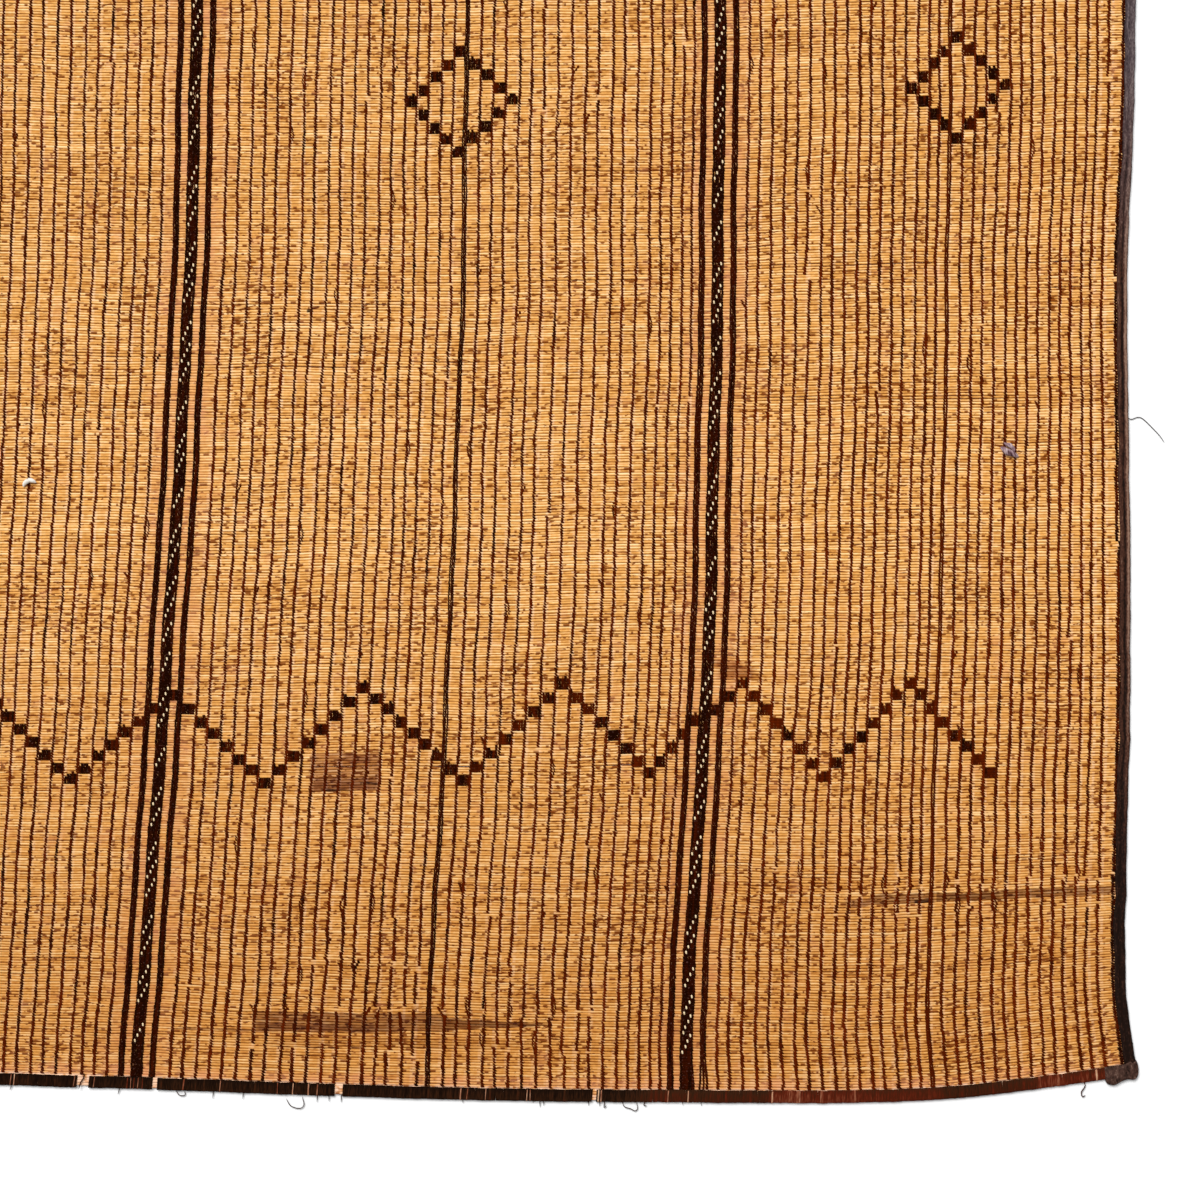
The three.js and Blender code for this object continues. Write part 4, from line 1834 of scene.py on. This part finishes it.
@dataclass
class SideBinding:
    """The leather folded over a long side: evenly worn at the back, darker towards the front."""

    warp: Warp
    material: bpy.types.Material
    side: Side
    width: float = 9.9
    step: float = 5.0
    cap_width: float = 11.0
    width_change: float = 0.3
    bulge: float = 0.25
    dent: float = 0.12
    even_wear: float = 0.56
    seed: int = 31

    def build(self) -> bpy.types.Object:
        """Makes the folded strip."""
        rng = np.random.default_rng(self.seed + self.side.value)
        reach = HALF_LENGTH - self.cap_width
        along = np.linspace(-reach, reach, round(2 * reach / self.step))
        count = len(along)
        width = self.width + self.width_change * smooth_noise(rng, (1, count), 3)[0]
        bulge = self.bulge * smooth_noise(rng, (1, count), 4)[0] + self.dent * rng.normal(size=count)
        inward, height, worn = (column(FOLD_SECTION, name) for name in ("inward", "height", "wear"))
        uneven = smooth_noise(rng, (len(FOLD_SECTION), count), 4).T
        depth = width[:, None] * inward + bulge[:, None] + 0.12 * uneven
        outer = RIGHT_EDGE if self.side is Side.RIGHT else LEFT_EDGE
        across = outer - self.side.value * depth
        lengthways = np.broadcast_to(along[:, None], across.shape)
        z = np.maximum(height + 0.1 * uneven * (height > 1), LOWEST)
        even = np.interp(along, (-180, -40), (0.0, 0.75))[:, None] * (inward < 0.85)
        rubbed = read_scale(RUBBING, along)[:, None]
        wear = (worn * (1 - even) + self.even_wear * even + 0.06 * uneven) * rubbed
        rings = self.warp.points(across, lengthways, z)[None]
        weave = np.stack([across, lengthways], axis=-1)[None]
        surface = Surface()
        surface.add_loft(rings, weave, np.clip(wear, 0, 1)[None], flip=self.side is Side.LEFT)
        name = f"side_binding_{self.side.name.lower()}"
        piece = surface.piece(f"{name}_folded", self.material, "binding_leather")
        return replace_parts(piece, name)


@dataclass(frozen=True)
class Gap:
    """A stretch of an end where the wound lace is gone and the stalks' ends show."""

    start: float
    stop: float


@dataclass(frozen=True)
class Turns:
    """A turn or two of the winding: their place across, width and tone on the finish's scale."""

    across: float
    width: float
    tone: float


FRONT_GAPS = (Gap(-302.0, -291.5), Gap(-232.0, -228.6), Gap(-77.0, -70.5), Gap(152.0, 155.5))
FRONT_PALE = (
    Turns(-366.4, 0.8, 0.72),
    Turns(-363.0, 1.0, 0.86),
    Turns(-305.6, 0.7, 0.7),
    Turns(-286.8, 0.7, 0.74),
    Turns(-255.6, 0.9, 0.6),
    Turns(-252.4, 0.7, 0.74),
    Turns(-249.6, 0.9, 0.58),
    Turns(-245.8, 0.8, 0.68),
    Turns(-241.6, 0.8, 0.56),
    Turns(-204.8, 1.2, 0.66),
    Turns(-173.0, 0.8, 0.72),
    Turns(-124.5, 0.8, 0.7),
    Turns(-111.6, 0.9, 0.84),
    Turns(-98.6, 1.1, 0.82),
    Turns(-91.1, 0.8, 0.74),
    Turns(32.4, 1.2, 0.8),
    Turns(38.4, 0.8, 0.7),
    Turns(55.0, 0.8, 0.78),
    Turns(92.7, 0.8, 0.82),
    Turns(95.6, 0.7, 0.74),
    Turns(158.0, 1.3, 0.92),
    Turns(160.6, 1.0, 0.84),
    Turns(220.8, 1.0, 0.78),
    Turns(238.5, 1.0, 0.84),
    Turns(311.2, 1.2, 0.84),
    Turns(334.7, 0.8, 0.8),
    Turns(581.8, 1.6, 0.86),
)


# The winding's tone, by its place across: black, then brown, then a red stretch.
WINDING_TONES = (
    Level(-682.0, 0.11),
    Level(180.0, 0.16),
    Level(205.0, 0.35),
    Level(308.0, 0.33),
    Level(314.0, 0.54),
    Level(378.0, 0.54),
    Level(395.0, 0.46),
    Level(452.0, 0.43),
    Level(468.0, 0.3),
    Level(508.0, 0.33),
    Level(530.0, 0.42),
    Level(545.0, 0.55),
    Level(562.0, 0.5),
    Level(615.0, 0.44),
)

# Painted shade round a turn, by the part of the way in from the edge: a shadow line, darker where the turn
# ends by the stalks, and a little lighter towards the mat's edge.
PAINTED_WINDING_SHADE = (Level(0.0, 0.03), Level(0.5, 0.02), Level(0.75, -0.05), Level(1.0, -0.12))


@dataclass(frozen=True)
class WindingPoint:
    """A point of a turn's section: its part of the width from the edge, and its height."""

    inward: float
    height: float


WINDING = (
    WindingPoint(1.0, 2.55),
    WindingPoint(0.96, 3.1),
    WindingPoint(0.6, 3.25),
    WindingPoint(0.19, 3.35),
    WindingPoint(0.065, 3.1),
    WindingPoint(0.01, 2.45),
    WindingPoint(0.01, 1.3),
    WindingPoint(0.065, 0.5),
    WindingPoint(0.19, 0.12),
    WindingPoint(0.6, 0.06),
    WindingPoint(1.0, 0.06),
)


@dataclass
class EndBinding:
    """Leather lace wound over an end of the mat, turn by turn."""

    warp: Warp
    material: bpy.types.Material
    end: End
    width: float = 11.6
    pitch: float = 2.2
    cap_length: float = 26.0
    overlap: float = 1.16
    pale_share: float = 0.06
    pale_tone: float = 0.12
    pale_lift: float = 0.3
    ridge: float = 0.12
    groove: float = -0.3
    seed: int = 41

    def build(self) -> bpy.types.Object:
        """Makes the wound lace."""
        rng = np.random.default_rng(self.seed + self.end.value)
        surface = Surface()
        place = LEFT_EDGE + self.cap_length
        gaps = FRONT_GAPS if self.end is End.FRONT else ()
        swing = 0.0
        while place < RIGHT_EDGE - self.cap_length:
            swing = 0.85 * swing + 0.1 * rng.normal()
            tone = read_scale(WINDING_TONES, place) + 0.03 * rng.normal()
            if rng.random() < self.pale_share:
                tone += self.pale_tone
            if not any(gap.start < place < gap.stop for gap in gaps):
                self.turn(surface, Turns(place, self.pitch * self.overlap, tone), 0.0, swing, rng)
            place += self.pitch * rng.uniform(0.8, 1.16)
        for pale in FRONT_PALE if self.end is End.FRONT else ():
            self.turn(surface, pale, self.pale_lift, 0.0, rng)
        name = f"end_binding_{self.end.name.lower()}"
        piece = surface.piece(f"{name}_wound", self.material, "end_lacing")
        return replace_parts(piece, name)

    def turn(
        self, surface: Surface, turns: Turns, lift: float, swing: float, rng: np.random.Generator
    ) -> None:
        """Adds one turn of lace, from the top round the edge to the underside.

        Args:
            surface: where the turn goes.
            turns: its place across, breadth and tone.
            lift: how far it stands proud of its neighbours.
            swing: how far the winding swings inward here.
            rng: the source of chance.
        """
        width = self.width + 0.06 * rng.normal() - 2 * lift
        inward = column(WINDING, "inward") * width + 0.06 * rng.normal() + swing
        height = column(WINDING, "height")
        tilt = rng.normal(0, 0.3)
        across = turns.across + tilt * (inward / width - 0.5)
        half = turns.width / 2
        rows_across = np.stack([across - half, across, across + half], axis=1)
        rows_along = np.repeat((self.end.value * (HALF_LENGTH - inward))[:, None], 3, axis=1)
        ridge = np.array([self.groove, self.ridge, self.groove]) + lift
        above = np.sign(height - BINDING_HEIGHT / 2)
        z = np.maximum(height[:, None] + ridge * above[:, None], LOWEST)
        # Painted shade where each turn ends by the stalks, on its dark lengths.
        shade = read_scale(PAINTED_WINDING_SHADE, inward / width)[:, None] * (turns.tone < 0.6)
        marks = np.clip(turns.tone + shade + 0.02 * rng.normal(size=z.shape), 0, 1)
        weave = np.stack([rows_across, rows_along + self.end.value * (BINDING_HEIGHT - z)], axis=-1)
        points = self.warp.points(rows_across, rows_along, z)
        surface.add_strip(points, weave, marks, flip=self.end is End.FRONT)


@dataclass(frozen=True)
class PatchSection:
    """A cut through a corner patch: how far in from the mat's side it lies, and how far in from the
    mat's end its outer and inner edges are."""

    inset: float
    outer: float
    inner: float


PATCH = (
    PatchSection(-1.5, 5.5, 10.4),
    PatchSection(-0.7, 1.2, 14.2),
    PatchSection(1.2, -2.5, 15.4),
    PatchSection(3.6, -3.8, 15.2),
    PatchSection(7.5, -2.6, 14.0),
    PatchSection(10.9, -3.0, 12.6),
    PatchSection(14.6, -4.3, 12.1),
    PatchSection(18.0, -5.7, 12.4),
    PatchSection(20.6, -6.3, 12.6),
    PatchSection(23.6, -5.4, 12.5),
    PatchSection(25.6, -3.7, 12.0),
    PatchSection(26.6, -0.6, 9.5),
)


@dataclass
class CornerCap:
    """The leather patch folded over a corner: a lumpy pad with a lobe that hangs over the end."""

    warp: Warp
    material: bpy.types.Material
    side: Side
    end: End
    height: float = 4.1
    stations: int = 34
    around: int = 24
    wear: float = 0.34
    seed: int = 53

    def build(self) -> bpy.types.Object:
        """Makes the patch as rounded rings along the end."""
        rng = np.random.default_rng(self.seed + 3 * self.side.value + self.end.value)
        knots = column(PATCH, "inset")
        part = (1 - np.cos(np.linspace(0, math.pi, self.stations))) / 2
        inset = knots[0] + (knots[-1] - knots[0]) * part
        outer, inner = (smooth_curve(knots, column(PATCH, name), inset) for name in ("outer", "inner"))
        round_off = (1 - np.abs(2 * part - 1) ** 9) ** (1 / 2.2)
        turn = (np.arange(self.around) + 0.5) * 2 * math.pi / self.around
        flat_cos = np.sign(np.cos(turn)) * np.abs(np.cos(turn)) ** 0.5
        flat_sin = np.sign(np.sin(turn)) * np.abs(np.sin(turn)) ** 0.6
        lumps = smooth_noise(rng, (self.around, self.stations), 2).T
        half = (inner - outer)[:, None] / 2
        inward = (inner + outer)[:, None] / 2 - half * flat_cos + 0.2 * lumps
        along = self.end.value * (HALF_LENGTH - inward)
        edge = RIGHT_EDGE if self.side is Side.RIGHT else LEFT_EDGE
        across = np.broadcast_to((edge - self.side.value * inset)[:, None], along.shape)
        crease = np.sin(1.15 * (inset[:, None] + 0.8 * inward) + 1.2 * lumps)
        upper = np.clip(flat_sin, 0, 1)
        z = self.height / 2 * (1 + round_off[:, None] * flat_sin) + (0.07 * lumps + 0.1 * crease) * upper
        near_side = np.clip(1.2 - inset[:, None] / 12, 0.25, 1)
        # The creases also paint light and shade into the wear: lighter on their ridges, as rubbing and
        # painted highlight, and painted shade in their folds, most near the side.
        wear = np.clip(self.wear + 0.07 * lumps + 0.16 * crease * near_side, 0, 1)
        rings = self.warp.points(across, along, np.maximum(z, LOWEST))[None]
        weave = np.stack([across, along], axis=-1)[None]
        surface = Surface()
        surface.add_loft(rings, weave, wear[None], flip=self.side.value * self.end.value > 0)
        name = f"corner_cap_{self.end.name.lower()}_{self.side.name.lower()}"
        piece = surface.piece(f"{name}_patch", self.material, "binding_leather")
        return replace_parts(piece, name)


# Loose threads and ties


@dataclass(frozen=True)
class Bead:
    """A point of a strand: its place as woven, its height, and the strand's half width and tone."""

    across: float
    along: float
    height: float
    half: float
    tone: float


@dataclass
class Strands:
    """Soft round strands that lie on the mat or hang over its edge."""

    warp: Warp
    around: int = 4
    steps: int = 3
    lumps: float = 0.0
    seed: int = 71

    def __post_init__(self) -> None:
        """Starts the source of chance and the surface."""
        self.rng = np.random.default_rng(self.seed)
        self.surface = Surface()

    def add(self, beads: tuple[Bead, ...]) -> None:
        """Adds one strand through its beads, pointed at both ends.

        Args:
            beads: the points of the strand.
        """
        knots = np.arange(len(beads), dtype=float)
        at = np.linspace(0, len(beads) - 1, self.steps * (len(beads) - 1) + 1)
        names = ("across", "along", "height", "half", "tone")
        parts = [smooth_curve(knots, column(beads, name), at) for name in names]
        across, along, height, half, tone = parts
        x, y = self.warp.lay(across, along)
        heading = np.stack([np.gradient(x), np.gradient(y)], axis=-1)
        heading /= np.maximum(np.linalg.norm(heading, axis=-1, keepdims=True), 1e-6)
        taper = np.clip(1 - np.abs(2 * at / at[-1] - 1) ** 6, 0.12, 1) ** 0.5
        turn = (np.arange(self.around) + 0.5) * 2 * math.pi / self.around
        bumps = smooth_noise(self.rng, (self.around, len(at)), 2).T
        radius = (half * taper)[:, None] * (1 + self.lumps * bumps)
        ring_x = x[:, None] - heading[:, 1:] * radius * np.cos(turn)
        ring_y = y[:, None] + heading[:, :1] * radius * np.cos(turn)
        ring_z = np.maximum(height[:, None] + radius * np.sin(turn), LOWEST)
        rings = np.stack([ring_x, ring_y, ring_z], axis=-1)
        weave = np.stack([across[:, None] + radius * np.cos(turn), along[:, None] + 0 * turn], axis=-1)
        marks = np.clip(tone[:, None] + self.lumps * bumps, 0, 1)
        self.surface.add_loft(rings[None], weave[None], marks[None])

    def path(
        self, places: tuple[tuple[float, float], ...], height: float, half: float, tone: float
    ) -> None:
        """Adds an even strand through places as woven."""
        self.add(tuple(Bead(across, along, height, half, tone) for across, along in places))


TUFTS = (
    ((-364.0, -911.0), (-366.5, -922.0)),
    ((-262.0, -913.0), (-263.5, -922.8)),
    ((-178.5, -912.0), (-178.6, -923.4)),
    ((-153.0, -912.0), (-153.1, -922.8)),
    ((-91.0, -911.0), (-90.8, -923.2)),
    ((-81.5, -911.0), (-80.8, -922.2)),
    ((-71.0, -912.0), (-70.6, -922.6)),
    ((34.0, -911.0), (35.0, -920.0)),
    ((98.0, -911.0), (98.8, -918.6)),
    ((104.0, -911.0), (105.4, -922.6)),
    ((108.0, -911.0), (108.6, -921.2)),
    ((149.0, -911.0), (149.8, -920.6)),
    ((160.2, -911.0), (159.6, -921.0)),
    ((164.8, -911.0), (163.8, -921.8), (166.0, -920.2)),
    ((233.5, -911.0), (234.2, -919.4)),
    ((249.0, -911.0), (250.6, -920.0)),
)
LOOPS = (
    ((-211.0, -917.5), (-207.5, -921.6), (-202.8, -921.2), (-203.4, -917.6)),
    ((-116.6, -921.0), (-112.4, -927.6), (-104.7, -929.6), (-101.5, -925.8), (-103.6, -918.5)),
    ((180.0, -916.5), (182.4, -921.2), (188.1, -923.0), (192.1, -925.0), (194.4, -922.6), (192.8, -917.0)),
    ((205.5, -909.5), (202.6, -914.0), (199.6, -919.4), (202.6, -920.4)),
)


def loose_threads(warp: Warp, material: bpy.types.Material) -> bpy.types.Object:
    """Makes the threads that stick out of the bindings.

    Args:
        warp: where places as woven lie.
        material: the threads' finish.

    Returns:
        The piece.
    """
    strands = Strands(warp)
    for tuft in TUFTS:
        strands.path(tuft, 1.6, 0.5, 0.25)
    for loop in LOOPS:
        strands.path(loop, 1.4, 0.5, 0.3)
    strands.path(((-296.5, -903.5), (-297.0, -908.0), (-299.2, -912.0), (-300.4, -918.5)), 3.3, 0.7, 0.36)
    hook = ((569.4, -912.0), (572.0, -920.0), (568.4, -925.6), (568.8, -930.2), (571.4, -929.4))
    strands.path(hook, 1.4, 0.6, 0.36)
    loose = ((612.0, -298.0), (617.4, -302.0), (623.6, -300.3), (628.8, -302.0), (637.6, -310.5))
    strands.path((*loose, (643.6, -317.0), (648.0, -323.2)), 0.7, 0.42, 0.14)
    return strands.surface.piece("loose_threads", material, "end_lacing")


@dataclass(frozen=True)
class Bundle:
    """A small thing of soft, lumpy strands that lies on the mat."""

    name: str
    slot: str
    around: int
    lumps: float
    seed: int
    strands: tuple[tuple[Bead, ...], ...]

    def build(self, warp: Warp, material: bpy.types.Material) -> bpy.types.Object:
        """Makes the piece.

        Args:
            warp: where places as woven lie.
            material: its finish.

        Returns:
            The piece.
        """
        strands = Strands(warp, self.around, 4, self.lumps, self.seed)
        for beads in self.strands:
            strands.add(beads)
        return strands.surface.piece(self.name, material, self.slot)


# The grey rag knotted round two laces of the right panel.
RAG_TIE = Bundle(
    "rag_tie",
    "lace_leather",
    around=10,
    lumps=0.16,
    seed=71,
    strands=(
        (
            Bead(496.6, -324.4, 3.3, 1.3, 0.5),
            Bead(499.8, -326.6, 3.8, 2.6, 0.6),
            Bead(503.4, -328.8, 4.0, 3.1, 0.55),
            Bead(507.0, -330.6, 4.0, 2.8, 0.5),
            Bead(510.4, -332.0, 3.7, 2.0, 0.7),
            Bead(513.4, -333.4, 3.2, 0.9, 0.9),
        ),
        (
            Bead(499.8, -320.6, 3.2, 1.0, 0.7),
            Bead(502.6, -322.4, 3.6, 1.8, 0.6),
            Bead(506.4, -323.8, 4.2, 2.0, 1.0),
            Bead(508.6, -326.8, 4.0, 1.4, 0.5),
            Bead(508.0, -330.4, 3.4, 0.9, 0.1),
        ),
    ),
)

# The small white tuft of down caught on the left panel.
SEED_FLUFF = Bundle(
    "seed_fluff",
    "grass_stalks",
    around=8,
    lumps=0.14,
    seed=73,
    strands=(
        (
            Bead(-393.4, -352.6, 3.6, 1.0, 0.0),
            Bead(-392.4, -348.8, 4.0, 1.9, 0.0),
            Bead(-388.6, -346.4, 4.2, 2.2, 0.0),
            Bead(-384.8, -347.2, 4.0, 1.8, 0.0),
            Bead(-381.4, -348.6, 3.6, 0.9, 0.0),
        ),
    ),
)


# The studio


@dataclass(frozen=True)
class Studio:
    """White paper, soft light from the upper left, and a camera straight above."""

    floor_size: float = 9.0
    photo_width: float = 1.104
    photo_middle: tuple[float, float] = (123.3, -457.2)
    lens: float = 85.0
    sensor: float = 36.0
    sky: float = 0.5
    key_strength: float = 2.9
    key_direction: tuple[float, float, float] = (-0.45, 0.8, 1.0)
    key_angle: float = 35.0

    def floor(self, material: bpy.types.Material) -> bpy.types.Object:
        """Makes the floor."""
        half = self.floor_size / 2
        mesh = bpy.data.meshes.new("studio_floor")
        corners = [(-half, -half, 0), (half, -half, 0), (half, half, 0), (-half, half, 0)]
        mesh.from_pydata(corners, [], [(0, 1, 2, 3)])
        mesh.materials.append(material)
        floor = bpy.data.objects.new("studio_floor", mesh)
        bpy.context.scene.collection.objects.link(floor)
        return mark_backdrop(floor)

    def lights(self) -> None:
        """Makes the even light of the room and the large soft light at the upper left."""
        world = bpy.data.worlds.new("soft_room")
        world.use_nodes = True
        background = world.node_tree.nodes["Background"]
        background.inputs["Color"].default_value = (1.0, 1.0, 1.0, 1.0)
        background.inputs["Strength"].default_value = self.sky
        bpy.context.scene.world = world
        data = bpy.data.lights.new("key", "SUN")
        data.energy = self.key_strength
        data.angle = math.radians(self.key_angle)
        key = bpy.data.objects.new("key", data)
        key.location = self.key_direction
        key.rotation_euler = Vector(self.key_direction).to_track_quat("Z", "Y").to_euler()
        bpy.context.scene.collection.objects.link(key)

    def camera(self, warp: Warp) -> None:
        """Makes the camera, straight above the middle of the photo's frame."""
        data = bpy.data.cameras.new("camera")
        data.lens = self.lens
        data.sensor_width = self.sensor
        height = self.photo_width * self.lens / self.sensor
        camera = bpy.data.objects.new("camera", data)
        middle_x = (self.photo_middle[0] - warp.middle[0]) * MM
        middle_y = (self.photo_middle[1] - warp.middle[1]) * MM
        camera.location = (middle_x, middle_y, height)
        bpy.context.scene.collection.objects.link(camera)
        bpy.context.scene.camera = camera
        bpy.context.scene.view_settings.view_transform = "Standard"


def main() -> None:
    """Builds the studio and the mat, piece by piece."""
    logging.basicConfig(level=logging.INFO, format="%(name)s: %(message)s")
    warp = Warp()
    studio = Studio()
    studio.camera(warp)
    studio.floor(StudioPaper().material())
    studio.lights()
    stalk = DryStalk().material()
    pale_stalk = PaleFibre().material()
    lace = DyedLace().material()
    wound = WoundLace().material()
    folded = FoldedLeather().material()
    patch = FoldedLeather("patch_goatskin", "150a06", "4c342b", "a08474").material()
    fluff = PaleFibre("thistle_down", colour="efe9df", shade="cfc4b6").material()
    StalkField(warp, stalk).build()
    lacing = Lacing(warp, lace)
    ThinLaces(lacing).build()
    HeavyLines(lacing, pale_stalk).build()
    Squares(lacing).build()
    for side in Side:
        SideBinding(warp, folded, side).build()
        for end in End:
            CornerCap(warp, patch, side, end).build()
    for end in End:
        EndBinding(warp, wound, end).build()
    loose_threads(warp, wound)
    RAG_TIE.build(warp, WornRag().material())
    SEED_FLUFF.build(warp, fluff)


if __name__ == "__main__":
    main()
